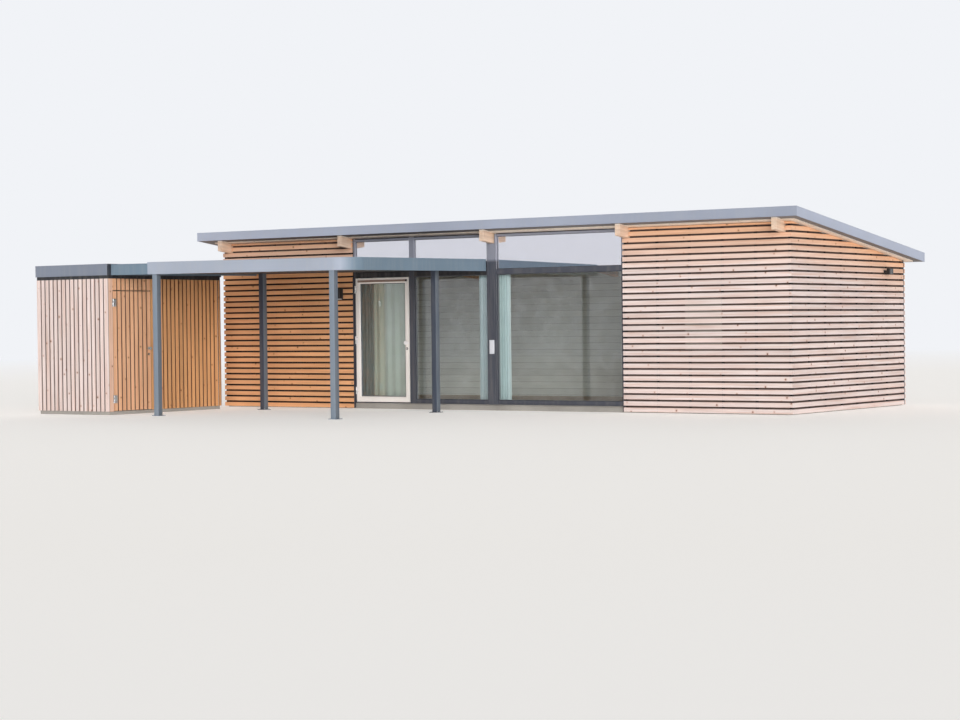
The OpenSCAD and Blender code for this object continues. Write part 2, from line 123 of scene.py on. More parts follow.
class Paint(Nodes):
    """A material with one Principled shader."""

    def __init__(self, name, **sockets):
        self.mat = bpy.data.materials.new(name)
        self.mat.use_nodes = True
        super().__init__(self.mat.node_tree)
        self.shader = self.tree.nodes["Principled BSDF"]
        for key, value in sockets.items():
            self.set(key.replace("_", " "), value)

    def set(self, key, value):
        self.feed(self.shader.inputs[key], value)

    def attribute(self, name, out="Fac"):
        return self.add("Attribute", out=out, attribute_name=name)

    def place(self):
        return self.add("TexCoord", out="Object")

    def times(self, vector, scale):
        return self.add("VectorMath", {0: vector, 1: scale}, operation="MULTIPLY")

    def length(self, vector):
        return self.add("VectorMath", {0: vector}, out="Value", operation="LENGTH")

    def xyz(self, vector):
        return self.add("SeparateXYZ", {0: vector}).node.outputs

    def noise(self, vector, scale=1.0, detail=3.0, rough=0.5, distortion=0.0):
        inputs = {"Vector": vector, "Scale": scale, "Detail": detail, "Roughness": rough}
        return self.add("TexNoise", inputs | {"Distortion": distortion})

    def range(self, value, a, b, c, d):
        """Takes a value from the range a to b into the range c to d."""
        return self.add("MapRange", {0: value, 1: a, 2: b, 3: c, 4: d})

    def mix(self, share, a, b):
        """Blends two colours, each a socket or three sRGB levels."""
        a, b = (rgb(*c) if isinstance(c, tuple) else c for c in (a, b))
        return self.add("Mix", {0: share, 6: a, 7: b}, out=2, data_type="RGBA")

    def lit(self, value, colour):
        return self.add("HueSaturation", {"Value": value, "Color": colour})

    def boards(self, along, width, near, far):
        """The number of each board, and its joint, from near to far in widths from the board's middle."""
        turn = self.math("DIVIDE", along, width)
        edge = self.math("ABSOLUTE", self.math("SUBTRACT", self.math("FRACT", turn), 0.5))
        return self.math("FLOOR", turn), self.range(edge, near, far, 0, 1)

    def finish(self, colour, rough, height, strength, distance):
        self.set("Base Color", colour)
        self.set("Roughness", rough)
        self.set("Normal", self.add("Bump", {"Height": height, "Strength": strength, "Distance": distance}))
        return self.mat


def knotted(p, grain, colour, dark, height):
    """Adds knots to the colour and the height of boards, at most one in each cell of a stretched pattern."""
    along, across = 1.5, 9.0  # cells to a metre
    flat = p.times(grain, (along, across, 0))
    centre = p.add("TexVoronoi", {"Vector": flat, "Scale": 1}, out="Position", voronoi_dimensions="2D")
    away = p.add("VectorMath", {0: flat, 1: centre}, operation="SUBTRACT")
    far = p.length(p.times(away, (1 / along, 1 / across, 0)))
    far = p.math("ADD", far, p.range(p.noise(p.times(grain, (90, 90, 90)), detail=1), 0, 1, -0.003, 0.003))
    reach = p.range(p.xyz(centre.node.outputs["Color"])[0], 0.25, 1.0, 0.0, 0.013)
    outside = p.math("SUBTRACT", far, reach)
    knot = p.range(outside, -0.003, 0.001, 1, 0)
    halo = p.math("MULTIPLY", p.range(outside, 0, 0.022, 0.4, 0), p.math("GREATER_THAN", reach, 0.003))
    colour = p.mix(halo, colour, dark)
    colour = p.mix(p.math("MULTIPLY", knot, 0.85), colour, (92, 52, 30))
    return colour, p.math("SUBTRACT", height, p.math("MULTIPLY", knot, 0.5))


def wood(name, fresh, aged, dark, knots=True, value=0.30):
    """Planed boards with streaks along the grain and knots, fresh or aged where the mesh says so, and painted
    shade on their sides deep in the joints.
    """
    p = Paint(name)
    grain, age = p.attribute("grain", "Vector"), p.attribute("age")
    fine = p.noise(p.times(grain, (2.2, 150, 150)), detail=4, rough=0.6)
    broad = p.noise(p.times(grain, (0.8, 24, 24)), detail=3, distortion=0.5)
    patch = p.noise(p.times(grain, (1.1, 4, 4)), detail=2)
    colour = p.mix(age, fresh, aged)
    colour = p.mix(p.range(broad, 0.42, 0.72, 0, 0.34), colour, dark)
    colour = p.mix(p.range(fine, 0.5, 0.75, 0, 0.25), colour, dark)
    height = p.math("ADD", p.math("MULTIPLY", fine, 0.6), broad)
    if knots:
        colour, height = knotted(p, grain, colour, dark, height)
    # Painted shade: the sides of the boards that lie deep in the joints are darker, more so where the wood is
    # fresh.
    deep = p.range(p.attribute("deep"), 0.06, 0.8, 0, 1)
    colour = p.mix(p.math("MULTIPLY", deep, p.range(age, 0, 1, 0.92, 0.62)), colour, (62, 40, 30))
    board = p.range(p.attribute("tone"), 0, 1, 1 - value / 2, 1 + value / 2)
    lift = p.math("ADD", board, p.range(patch, 0.3, 0.7, -0.07, 0.07))
    return p.finish(p.lit(lift, colour), p.range(fine, 0.3, 0.7, 0.70, 0.86), height, 0.35, 0.0012)


def coated(name, colour, other=None, rough=0.42, painted_light_above=None, right_shade=None, **sockets):
    """Coated metal or plastic, with faint runs of dust and an uneven sheen.

    Its tone may go over to another colour, painted light or shade where the mesh says so; it may be painted
    paler above a height, as painted light and reflection of the sky; and faces that look right may be painted
    darker, as painted shade.
    """
    p = Paint(name, **sockets)
    where = p.place()
    cloud = p.noise(where, 1.3, 3)
    runs = p.noise(p.times(where, (16, 16, 1.2)), 1.0, 3, 0.6)
    base = colour if other is None else p.mix(p.attribute("tone"), colour, other)
    # Painted light and reflection of the sky: paler above a height.
    if painted_light_above:
        pale, low, high = painted_light_above
        base = p.mix(p.range(p.xyz(where)[2], low, high, 0, 1), base, pale)
    # Painted shade: darker on faces that look right.
    if right_shade:
        to_right = p.xyz(p.add("NewGeometry", out="Normal"))[0]
        base = p.mix(p.range(to_right, 0.4, 0.9, 0, 1), base, right_shade)
    base = p.mix(p.range(runs, 0.45, 0.8, 0, 0.12), base, (205, 200, 190))
    base = p.lit(p.range(cloud, 0.3, 0.7, 0.965, 1.035), base)
    sheen = p.range(runs, 0.35, 0.75, rough - 0.05, rough + 0.12)
    return p.finish(base, sheen, p.noise(where, 220, 2), 0.05, 0.0006)


def plywood():
    """Pale sheets with a broad figure and a dark joint between them."""
    p = Paint("plywood")
    where = p.place()
    part = p.xyz(where)
    sheet, joint = p.boards(part[0], 1.22, 0.4975, 0.4985)
    across = p.math("MULTIPLY_ADD", part[0], 9.0, p.math("MULTIPLY", sheet, 5.3))
    parts = {0: across, 1: p.math("MULTIPLY", part[1], 0.9), 2: p.math("MULTIPLY", sheet, 3.1)}
    figure = p.noise(p.add("CombineXYZ", parts), 1.0, 4, 0.55, 1.2)
    fine = p.noise(p.times(where, (220, 6, 30)), 1.0, 3)
    colour = p.mix(p.range(figure, 0.3, 0.7, 0, 1), (252, 240, 228), (246, 226, 206))
    colour = p.mix(p.range(fine, 0.5, 0.8, 0, 0.3), colour, (214, 180, 146))
    colour = p.mix(p.math("MULTIPLY", joint, 0.7), colour, (70, 50, 35))
    height = p.math("SUBTRACT", fine, p.math("MULTIPLY", joint, 3.0))
    return p.finish(colour, p.range(fine, 0.3, 0.7, 0.62, 0.78), height, 0.25, 0.001)


def lined(name, colour, other, width, axis=2):
    """Boards of a width, seen as a lined surface. The joints follow one another along the axis."""
    p = Paint(name)
    where = p.place()
    number, joint = p.boards(p.xyz(where)[axis], width, 0.47, 0.485)
    tone = p.add("TexWhiteNoise", {"W": number}, noise_dimensions="1D")
    streak = p.noise(p.times(where, (6, 60, 60)), 1.0, 3, 0.6)
    base = p.mix(p.range(streak, 0.35, 0.75, 0, 1), colour, other)
    base = p.mix(p.math("MULTIPLY", joint, 0.6), p.lit(p.range(tone, 0, 1, 0.93, 1.05), base), (60, 60, 60))
    height = p.math("SUBTRACT", p.math("MULTIPLY", streak, 0.3), p.math("MULTIPLY", joint, 2.0))
    return p.finish(base, p.range(streak, 0.3, 0.7, 0.49, 0.63), height, 0.4, 0.002)


def rough_sheet(name, colour, other, grit=600.0, rough=0.85):
    """Roof covering, underlay and concrete: a gritty surface with stains."""
    p = Paint(name)
    where = p.place()
    specks = p.noise(where, grit, 2, 0.7)
    stains = p.noise(where, 0.9, 5, 0.6)
    stained = p.mix(p.range(stains, 0.35, 0.7, 0, 1), colour, other)
    base = p.lit(p.range(specks, 0.3, 0.7, 0.86, 1.14), stained)
    return p.finish(base, p.range(specks, 0.3, 0.7, rough - 0.08, rough + 0.1), specks, 0.4, 0.0015)


def glass(name, shine, tint):
    """Insulating glass: what is behind it shows, under a mirror image of what is in front."""
    p = Paint(name)
    where = p.place()
    clear = p.add("BsdfTransparent", {"Color": tint})
    gloss = p.range(p.noise(where, 0.8, 2), 0.3, 0.7, 0.002, 0.012)
    mirror = p.add("BsdfGlossy", {"Color": (0.97, 0.96, 1.0, 1), "Roughness": gloss})
    p.blend(p.range(p.noise(where, 5.0, 4, 0.6), 0.4, 0.8, shine, shine + 0.03), clear, mirror)
    p.tree.nodes.remove(p.shader)
    return p.mat


def fabric(name, colour, other):
    """Woven cloth with a faint sheen and slubs that run down it."""
    p = Paint(name, Sheen_Weight=0.25, Sheen_Roughness=0.5)
    where = p.place()
    down, across = (p.math("SINE", p.math("MULTIPLY", p.xyz(where)[axis], 2600.0)) for axis in (2, 0))
    slub = p.noise(p.times(where, (90, 90, 6)), 1.0, 3)
    height = p.math("ADD", p.math("MULTIPLY", p.math("MULTIPLY", down, across), 0.5), slub)
    colour = p.mix(p.range(slub, 0.3, 0.7, 0, 1), colour, other)
    return p.finish(colour, p.range(slub, 0.3, 0.7, 0.8, 0.95), height, 0.3, 0.0006)


LARCH = wood("larch", (246, 182, 126), (243, 227, 223), (196, 126, 78), value=0.12)
SHADED_LARCH = wood("shaded_larch", (230, 168, 108), (236, 208, 190), (176, 104, 58), value=0.26)
GLULAM = wood("glulam", (244, 194, 146), (238, 212, 190), (208, 156, 112), knots=False, value=0.10)
BATTEN = rough_sheet("black_batten", (48, 40, 38), (36, 32, 32), 300)
UNDERLAY = rough_sheet("black_underlay", (100, 82, 74), (86, 70, 64), 500)
# A darker copy of the underlay for the left front wall: painted shade, for the canopy over it.
SHADED_UNDERLAY = rough_sheet("shaded_underlay", (46, 34, 28), (36, 28, 24), 500)
DECK_BOARD = rough_sheet("deck_board", (136, 130, 128), (122, 118, 116), 500)
COVER = rough_sheet("pale_cover", (146, 138, 130), (132, 125, 118), 400)
SEAL = rough_sheet("rubber_seal", (26, 26, 28), (34, 34, 36), 900, 0.6)
ROOFING = rough_sheet("roofing", (92, 96, 104), (112, 114, 118), 700)
CONCRETE = rough_sheet("concrete", (176, 172, 166), (150, 146, 140), 260)
# The house edge's second colour is paler: painted light, where its tone says so.
HOUSE_METAL = coated("house_metal", (164, 172, 190), (192, 200, 219), 0.75, Specular_IOR_Level=0.2)
# The store edge's second colour is darker: painted shade on its right side.
STORE_METAL = coated("store_metal", (134, 142, 158), (56, 60, 70), Metallic=0.2)
# The canopy edge's second colour is darker: painted shade.
CANOPY_METAL = coated("canopy_metal", (176, 185, 201), (123, 143, 160), 0.65, Specular_IOR_Level=0.12)
# The posts' second colour is painted shade on the rear posts, and the third is painted shade on faces that
# look right.
POST_METAL = coated("post_metal", (134, 147, 162), (64, 72, 88), 0.5, None, (110, 120, 132), Metallic=0.2)
# The frames are paler above a height: painted light and reflection of the sky above the canopy.
FRAME_METAL = coated("frame_metal", (69, 72, 83), rough=0.4, painted_light_above=((144, 147, 161), 2.47, 2.53))
TRIM_METAL = coated("trim_metal", (60, 60, 70), rough=0.5)
# Dark metal of the canopy's soffit, also used as painted shade on the transoms under the canopy and in the
# strip over the store's boards.
SOFFIT_AND_SHADE_METAL = coated("soffit_and_shade_metal", (40, 41, 46), rough=0.6)
BLACK = coated("black_metal", (30, 30, 33), rough=0.4)
STEEL = coated("steel", (186, 188, 190), rough=0.28, Metallic=0.9)
CREAM = coated("cream_paint", (253, 248, 244), rough=0.4)
VENT = coated("vent_strip", (150, 128, 116), rough=0.6)
PLATE_GREY = coated("plate_plastic", (224, 226, 234), rough=0.35)
WHITE = coated("white_plastic", (250, 247, 247), rough=0.35)
LENS = coated("lamp_lens", (60, 60, 64), rough=0.25)
SPACER = coated("pane_spacer", (150, 154, 162), rough=0.5)
LINING = lined("painted_lining", (246, 248, 246), (238, 242, 241), 0.12)
FLOOR_BOARDS = lined("floor_boards", (196, 166, 130), (170, 136, 100), 0.16, axis=1)
CLEAR = glass("glass_low", 0.030, (0.960, 0.972, 0.966, 1))
SKYLIT = glass("glass_high", 0.625, (0.84, 0.85, 0.88, 1))
PLY = plywood()
MINT = fabric("mint_curtain", (230, 242, 246), (212, 230, 234))
# The mint cloth made greyer and darker for the middle curtain: painted shade.
SHADED_MINT = fabric("shaded_mint_curtain", (200, 214, 221), (184, 200, 208))
NET = fabric("net_curtain", (194, 203, 193), (186, 195, 184))
SLATE = fabric("slate_curtain", (132, 150, 152), (96, 110, 112))


# Shapes

class Shape:
    """Vertices, faces and values for one piece."""

    def __init__(self, warp=None):
        self.co, self.faces, self.slots = [], [], []
        self.tone, self.age, self.grain, self.deep = [], [], [], []
        self.warp = warp

    def point(self, q, grain, tone=0.5, age=1.0, deep=0.0):
        self.co.append(q)
        self.grain.append(grain)
        self.tone.append(tone)
        self.age.append(age)
        self.deep.append(deep)

    def face(self, corners, slot=0):
        self.faces.append(corners)
        self.slots.append(slot)

    def loft(self, rings, slot=0, tone=0.5, age=1.0, grain=None, caps=True, deep=None):
        """A skin through rings of points, all of one length, closed at its ends by caps.

        The grain has a value for each point. The tone and the age may be functions of a point. deep says,
        for each place in a ring, how far that place lies in the gap beside a board.
        """
        n, first = len(rings[0]), len(self.co)
        for k, ring in enumerate(rings):
            for i, q in enumerate(ring):
                q = Vector(q)
                along = grain[k][i] if grain else (q.z, q.x, q.y)
                q = self.warp(q) if self.warp else q
                looks = [value(q) if callable(value) else value for value in (tone, age)]
                self.point(q, along, *looks, deep[i] if deep else 0.0)
        last = first + (len(rings) - 1) * n
        for a in range(first, last, n):
            for i in range(n):
                j = (i + 1) % n
                self.face((a + i, a + j, a + n + j, a + n + i), slot)
        if caps:
            self.face(tuple(range(first, first + n)), slot)
            self.face(tuple(range(last + n - 1, last - 1, -1)), slot)

    def bar(self, lo, hi, bevel=0.002, axis=2, slot=0, tone=0.5, age=1.0, seed=None):
        """A box with all its edges chamfered, as rings along one axis."""
        u, v = [k for k in range(3) if k != axis]
        bevel = min(bevel, 0.45 * min(hi[k] - lo[k] for k in range(3)))

        def ring(at, inset):
            a0, a1, b0, b1 = lo[u] + inset, hi[u] - inset, lo[v] + inset, hi[v] - inset
            c = bevel - inset
            corners = [(a0 + c, b0), (a1 - c, b0), (a1, b0 + c), (a1, b1 - c),
                       (a1 - c, b1), (a0 + c, b1), (a0, b1 - c), (a0, b0 + c)]
            points = []
            for a, b in corners:
                q = [0, 0, 0]
                q[axis], q[u], q[v] = at, a, b
                points.append(tuple(q))
            return points
        start, end = lo[axis], hi[axis]
        rings = [ring(start, bevel), ring(start + bevel, 0), ring(end - bevel, 0), ring(end, bevel)]
        grain = None
        if seed is not None:
            grain = [[(q[axis] + seed * 3.7, q[u] + seed, q[v]) for q in ring] for ring in rings]
        self.loft(rings, slot, tone, age, grain)

    def slat(self, base, along, up, out, start, end, width, near=(0.0015, 0.006), far=(0.005, 0.0),
             age=1.0, tone=0.5, step=0.45):
        """A board with eased outer edges and sloping sides, which shed water.

        near and far say how much each side is cut back at the face and at the rear. The ends may be lengths,
        or functions of the height and depth in the section.
        """
        base, along, up, out = Vector(base), Vector(along), Vector(up), Vector(out)
        ease = 0.0016
        section = [(near[0] + ease, 0), (width - far[0] - ease, 0), (width - far[0], ease),
                   (width - far[1], THICK), (near[1], THICK), (near[0], ease)]
        starts, ends = ([at(s, t) if callable(at) else at for s, t in section] for at in (start, end))
        if max(b - a for a, b in zip(starts, ends)) < 0.01:
            return
        n = max(1, round((max(ends) - min(starts)) / step))
        shift, side = chance.uniform(0, 50), chance.uniform(0, 50)
        rings, grain = [], []
        for k in range(n + 1):
            places = [a + (max(b, a) - a) * k / n for a, b in zip(starts, ends)]
            rings.append([base + along * at + up * s - out * t for at, (s, t) in zip(places, section)])
            grain.append([(at + shift, s + side, t + shift) for at, (s, t) in zip(places, section)])
        self.loft(rings, 0, tone, age, grain, deep=[t / THICK for s, t in section])

    def turned(self, centre, axis, profile, n=32, slot=0):
        """A turned form: the profile is (distance along the axis, radius)."""
        centre, axis = Vector(centre), Vector(axis)
        a = axis.orthogonal().normalized()
        b = axis.cross(a)
        spokes = [a * math.cos(2 * math.pi * i / n) + b * math.sin(2 * math.pi * i / n) for i in range(n)]
        self.loft([[centre + axis * w + spoke * r for spoke in spokes] for w, r in profile], slot)

    def dot(self, centre, out, r=0.0036, h=0.0006):
        """The head of a screw."""
        self.turned(centre, out, [(-0.001, r), (h * 0.5, r), (h, r * 0.8)], 8, 1)

    def border(self, x0, x1, z0, z1, profile, slot=0):
        """Sweeps a profile of (outwards, y) round an upright rectangle, with mitred corners."""
        corners = ((x0, -1, z0, -1), (x1, 1, z0, -1), (x1, 1, z1, 1), (x0, -1, z1, 1))
        rings = [[(x + right * o, y, z + up * o) for o, y in profile] for x, right, z, up in corners]
        self.loft(rings + rings[:1], slot, caps=False)

    def make(self, name, mats, finish=None, node=None, body="house", smooth=0.0):
        """Makes the piece, puts it on its body and hides the CAD node that it stands for.

        smooth is the angle, in degrees, up to which its edges are shaded soft. finish is not used.
        """
        mesh = bpy.data.meshes.new(name)
        mesh.from_pydata(self.co, [], self.faces)
        for key, values in (("tone", self.tone), ("age", self.age), ("deep", self.deep)):
            values = np.array(values, np.float32)
            mesh.attributes.new(key, "FLOAT", "POINT").data.foreach_set("value", values)
        grain = np.array([tuple(g) for g in self.grain], np.float32).ravel()
        mesh.attributes.new("grain", "FLOAT_VECTOR", "POINT").data.foreach_set("vector", grain)
        for m in mats:
            mesh.materials.append(m)
        mesh.polygons.foreach_set("material_index", self.slots)
        bm = bmesh.new()
        bm.from_mesh(mesh)
        bmesh.ops.remove_doubles(bm, verts=bm.verts, dist=1e-6)
        bmesh.ops.dissolve_degenerate(bm, edges=bm.edges, dist=1e-6)
        bmesh.ops.recalc_face_normals(bm, faces=bm.faces)
        bm.to_mesh(mesh)
        bm.free()
        if smooth:
            mesh.shade_smooth()
            mesh.set_sharp_from_angle(angle=math.radians(smooth))
        piece = bpy.data.objects.new(name, mesh)
        scene.collection.objects.link(piece)
        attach(piece, body)
        if node:
            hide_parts(node)
        return piece


def finish_node(name, material):
    """Gives a carried-over part its material."""
    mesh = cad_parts[name].data
    mesh.materials.clear()
    mesh.materials.append(material)


# Slats of the house

SLAT_ROOM = 0.003  # between a slat and the ceiling or a beam
MITRE_GAP = 0.0006
THINNEST = 0.012  # rows that the ceiling would cut lower than this are left out
BATTEN_FOOT = SLAT_FOOT + 0.004
SCREW_SPREAD = 0.018  # of the two screws in a slat, from its middle
# A pale cover behind the slats of the right front wall, from corner to corner
COVER_LO, COVER_HI = (3.850, -WALL_Y - 0.012, 1.000), (4.500, -WALL_Y - 0.002, 1.800)
backing = Shape()


def protected(q):
    """How weathered a slat is: less close under the eaves, and little under the canopy."""
    if q.y < -FACE_Y + 0.06 and q.x < -GLASS_X + 0.1 and q.z < SHELTER:
        return 0.08
    return min(1.0, 0.18 + (ceiling(q.y) - q.z) / 0.85)


def rows():
    """The foot and the top of each row of slats."""
    for n in range(math.ceil(FRONT / PITCH)):
        yield max(SLAT_FOOT, n * PITCH + GAP / 2), (n + 1) * PITCH - GAP / 2


def under(z, y_end):
    """Where a line at height z along Y meets the ceiling, or the end of the wall."""
    return min(y_end, -FACE_Y + (FRONT - SLAT_ROOM - z) / SLOPE)


def between_beams(x0, x1):
    """The spans between two places along X that no beam end crosses."""
    spans, at = [], x0
    for b in BEAMS:
        if x0 < b < x1:
            spans.append((at, b - BEAM_W / 2 - SLAT_ROOM))
            at = b + BEAM_W / 2 + SLAT_ROOM
    return spans + [(at, x1)]


def long_rows(shape, way, x0, x1, mitres, joints):
    """Rows of slats on the front or back, notched round the beam ends, or in jointed lengths."""
    face = way * FACE_Y
    for z0, z1 in rows():
        z1 = min(z1, ceiling(face) - SLAT_ROOM)
        if z1 - z0 < THINNEST:
            continue
        spans = between_beams(x0, x1) if way < 0 and z1 > FRONT - BEAM_H else [(x0, x1)]
        if joints:
            outer, middle = [-3.9, -3.3, -2.7, -2.1, 2.1, 2.7, 3.3, 3.9], [-0.6, 0.0, 0.6]
            marks = [x0, *sorted(chance.sample(outer, 1) + [chance.choice(middle)]), x1]
            spans = [(a + 0.001 * (a != x0), b - 0.001 * (b != x1)) for a, b in zip(marks, marks[1:])]
        for a, b in spans:
            start = (lambda s, t, a=a: a + t + MITRE_GAP) if mitres[0] and a == x0 else a
            end = (lambda s, t, b=b: b - t - MITRE_GAP) if mitres[1] and b == x1 else b
            shape.slat((0, face, z0), (1, 0, 0), (0, 0, 1), (0, way, 0), start, end, z1 - z0,
                       tone=chance.random(), age=protected)


def side_rows(shape, side, y_end):
    """Rows of slats on a side, cut under the sloping eaves."""
    for z0, z1 in rows():
        z1 = min(z1, FRONT - SLAT_ROOM)
        if z1 - z0 < THINNEST or under(z0, y_end) + FACE_Y < 0.05:
            continue
        shape.slat((side * FACE_X, 0, z0), (0, 1, 0), (0, 0, 1), (side, 0, 0),
                   lambda s, t: -FACE_Y + t + MITRE_GAP, lambda s, t, z0=z0: under(z0 + s, y_end), z1 - z0,
                   tone=chance.random(), age=protected)


def batten_places(a, b):
    n = max(1, round((b - a - 0.08) / BATTEN_STEP))
    return [a + 0.04 + (b - a - 0.08) * k / n for k in range(n + 1)]


def finish_slats(key, slats, point, places, limit, out):
    """Adds two screws at each crossing of a full row and a batten, and makes the piece.

    point gives a point from a place along the wall and a height. Rows above the limit have none.
    """
    for z0, z1 in rows():
        for a in places:
            if z1 < limit(a):
                for k in (-1, 1):
                    slats.dot(point(a, (z0 + z1) / 2 + SCREW_SPREAD * k), out)
    slats.make("slats_" + key, [LARCH, STEEL], "larch_slats", "cladding_" + key)


def clad_long(key, way, x0, x1, mitres, joints=False):
    """Slats, battens and underlay of a wall along X. way is -1 on the front and 1 on the back."""
    face, inner = way * FACE_Y, way * WALL_Y
    slats = Shape()
    long_rows(slats, way, x0, x1, mitres, joints)
    places = batten_places(x0, x1)
    highest = ceiling(face) - (0.18 if way < 0 else 0.01)
    finish_slats(key, slats, lambda a, z: (a, face, z), places, lambda a: highest, (0, way, 0))
    top = min(ceiling(face), ceiling(inner)) - EASE
    y0, y1 = sorted((inner, face - way * THICK))
    for a in places:
        beam_over = way < 0 and min(abs(a - b) for b in BEAMS) < 0.075
        lo = (a - BATTEN_W / 2, y0, BATTEN_FOOT)
        hi = (a + BATTEN_W / 2, y1, top - (BEAM_H if beam_over else 0))
        if way < 0 and COVER_LO[0] < hi[0] and lo[0] < COVER_HI[0]:
            backing.bar(lo, (hi[0], y1, COVER_LO[2] - 0.002))
            backing.bar((lo[0], y0, COVER_HI[2] + 0.002), hi)
        else:
            backing.bar(lo, hi)
    y0, y1 = sorted((inner + way * 0.0005, inner + way * 0.002))
    low = top - (BEAM_H + 0.002 if way < 0 else 0)
    x0, x1 = x0 + THICK * mitres[0], x1 - THICK * mitres[1]
    # The left front wall takes the darker underlay: painted shade.
    backing.bar((x0, y0, BATTEN_FOOT), (x1, y1, low), 0.0003, slot=3 if key == "front_left" else 1)
    if way < 0:
        for a, b in between_beams(x0, x1):
            backing.bar((a, y0, low), (b, y1, top), 0.0003, slot=1)


def clad_side(key, side):
    """Slats, battens and underlay of a side. side is -1 on the left and 1 on the right."""
    slats = Shape()
    side_rows(slats, side, WALL_Y - 0.015)
    places = batten_places(-FACE_Y + 0.03, WALL_Y - 0.02)
    limit = lambda a: ceiling(a + 0.02) - 0.01
    finish_slats(key, slats, lambda a, z: (side * FACE_X, a, z), places, limit, (side, 0, 0))
    x0, x1 = sorted((side * WALL_X, side * (FACE_X - THICK)))
    for a in places:
        y0, y1 = a - BATTEN_W / 2, a + BATTEN_W / 2
        backing.bar((x0, y0, BATTEN_FOOT), (x1, y1, ceiling(y1) - EASE))
    y0, y1 = -WALL_Y, WALL_Y - 0.016
    sheet = [(y0, BATTEN_FOOT), (y1, BATTEN_FOOT), (y1, ceiling(y1) - EASE), (y0, ceiling(y0) - EASE)]
    faces = sorted((side * (WALL_X + 0.0005), side * (WALL_X + 0.002)))
    backing.loft([[(x, y, z) for y, z in sheet] for x in faces], 1)


clad_long("front_left", -1, -FACE_X, -GLASS_X, (1, 0))
clad_long("front_right", -1, GLASS_X, FACE_X, (0, 1))
clad_long("back", 1, -FACE_X, FACE_X, (1, 1), joints=True)
clad_side("left", -1)
clad_side("right", 1)
backing.bar(COVER_LO, COVER_HI, 0.001, slot=2)
backing.make("wall_backing", [BATTEN, UNDERLAY, COVER, SHADED_UNDERLAY])
finish_node("end_trims", TRIM_METAL)

# Roof of the house

LAYERS = 5  # of glued timber in a beam
MEMBRANE, STEP_UP = 0.004, 0.003  # thickness of a sheet of roofing, and how far every second one is raised
SEAM, CORNER_GAP = 0.0016, 0.0004  # of a folded edge


def sloping(q):
    return Vector((q.x, q.y, q.z + ceiling(q.y)))


def membrane(name, warp, ends, sides, deck_top, count, lap=0.05, inset=0.0, across=0):
    """Overlapping sheets of roofing on a deck, one after another along X, or along Y if across is 1."""
    shape = Shape(warp)
    for k in range(count):
        a = ends[0] + (ends[1] - ends[0]) * k / count - (lap if k else -inset)
        b = ends[0] + (ends[1] - ends[0]) * (k + 1) / count - (inset if k == count - 1 else 0)
        low = deck_top + 0.0002 + (STEP_UP if k % 2 else 0.0)
        lo, hi = [a, sides[0], low], [b, sides[1], low + MEMBRANE]
        if across:
            lo[:2], hi[:2] = lo[1::-1], hi[1::-1]
        shape.bar(lo, hi, 0.001, axis=1 - across)
    shape.make(name, [ROOFING], "roof_membrane")


def edge_profile(low, high, thick=0.030):
    """Folded edge of a roof, as (outwards, height): a hem, a plain face and a raised lip at the top."""
    return [(-thick, low + 0.006), (-0.012, low + 0.006), (-0.012, low), (-0.0005, low), (0, low + 0.001),
            (0, low + 0.009), (-0.0025, low + 0.012), (-0.0025, high - 0.020), (0, high - 0.017),
            (0, high - 0.003), (-0.003, high), (-thick + 0.002, high - 0.002), (-thick, high - 0.004)]


def edge_run(shape, a, b, profile, seams=(), tone=0.0, mitre=(True, True)):
    """One straight side of a folded edge, mitred at its ends, with thin seams at the places given.

    Outwards is to the right of the way from a to b.
    """
    a, b = np.array(a, float), np.array(b, float)
    length = np.linalg.norm(b - a)
    along = (b - a) / length
    outwards = np.array((along[1], -along[0]))
    marks = [0, *seams, length]
    last = len(marks) - 2
    for i, (start, end) in enumerate(zip(marks, marks[1:])):
        rings = []
        ends = ((start + SEAM / 2 * (i > 0), -1, i == 0 and mitre[0]),
                (end - SEAM / 2 * (i < last), 1, i == last and mitre[1]))
        for at, way, mitred in ends:
            ring = []
            for o, h in profile:
                q = a + along * (at + (way * (o - CORNER_GAP) if mitred else 0.0)) + outwards * o
                ring.append((q[0], q[1], h))
            rings.append(ring)
        shape.loft(rings, 0, tone)


def fade(x0, x1):
    """A tone that grows from 0 at x0 to 1 at x1."""
    return lambda q: min(1.0, max(0.0, (q.x - x0) / (x1 - x0)))


def house_edge(key, *runs, tone=0.0):
    """The folded edge on one side of the house's roof. Each run has two corners and its seams."""
    shape = Shape(sloping)
    for a, b, seams in runs:
        edge_run(shape, a, b, edge_profile(PLY_T, PLY_T + 0.150), seams, tone)
    shape.make("roof_edge_" + key, [HOUSE_METAL], "grey_metal", "roof_fascia_" + key)


beams = Shape(sloping)
for b in BEAMS:
    for k in range(LAYERS):
        joint = 0.0004 if k < LAYERS - 1 else 0.0001
        lo = (b - BEAM_W / 2, BEAM_Y, BEAM_H * (k / LAYERS - 1))
        hi = (b + BEAM_W / 2, WALL_Y, BEAM_H * ((k + 1) / LAYERS - 1) - joint)
        beams.bar(lo, hi, 0.0012, axis=1, tone=chance.random(),
                  age=lambda q: 1.0 if q.y < BEAM_Y + 0.002 else 0.15, seed=chance.uniform(0, 30))
beams.make("roof_beams_laminated", [GLULAM], "glued_timber", "roof_beams")
finish_node("ceiling_board", PLY)
finish_node("roof_deck", DECK_BOARD)
deck_x, deck_y = (ROOF_X0 + 0.03, ROOF_X1 - 0.03), (ROOF_Y0 + 0.03, ROOF_Y1 - 0.03)
membrane("roof_sheets", sloping, deck_x, deck_y, DECK_TOP, 12)
long_seams, side_seams = [3.01, 6.02, 9.03], [2.4]
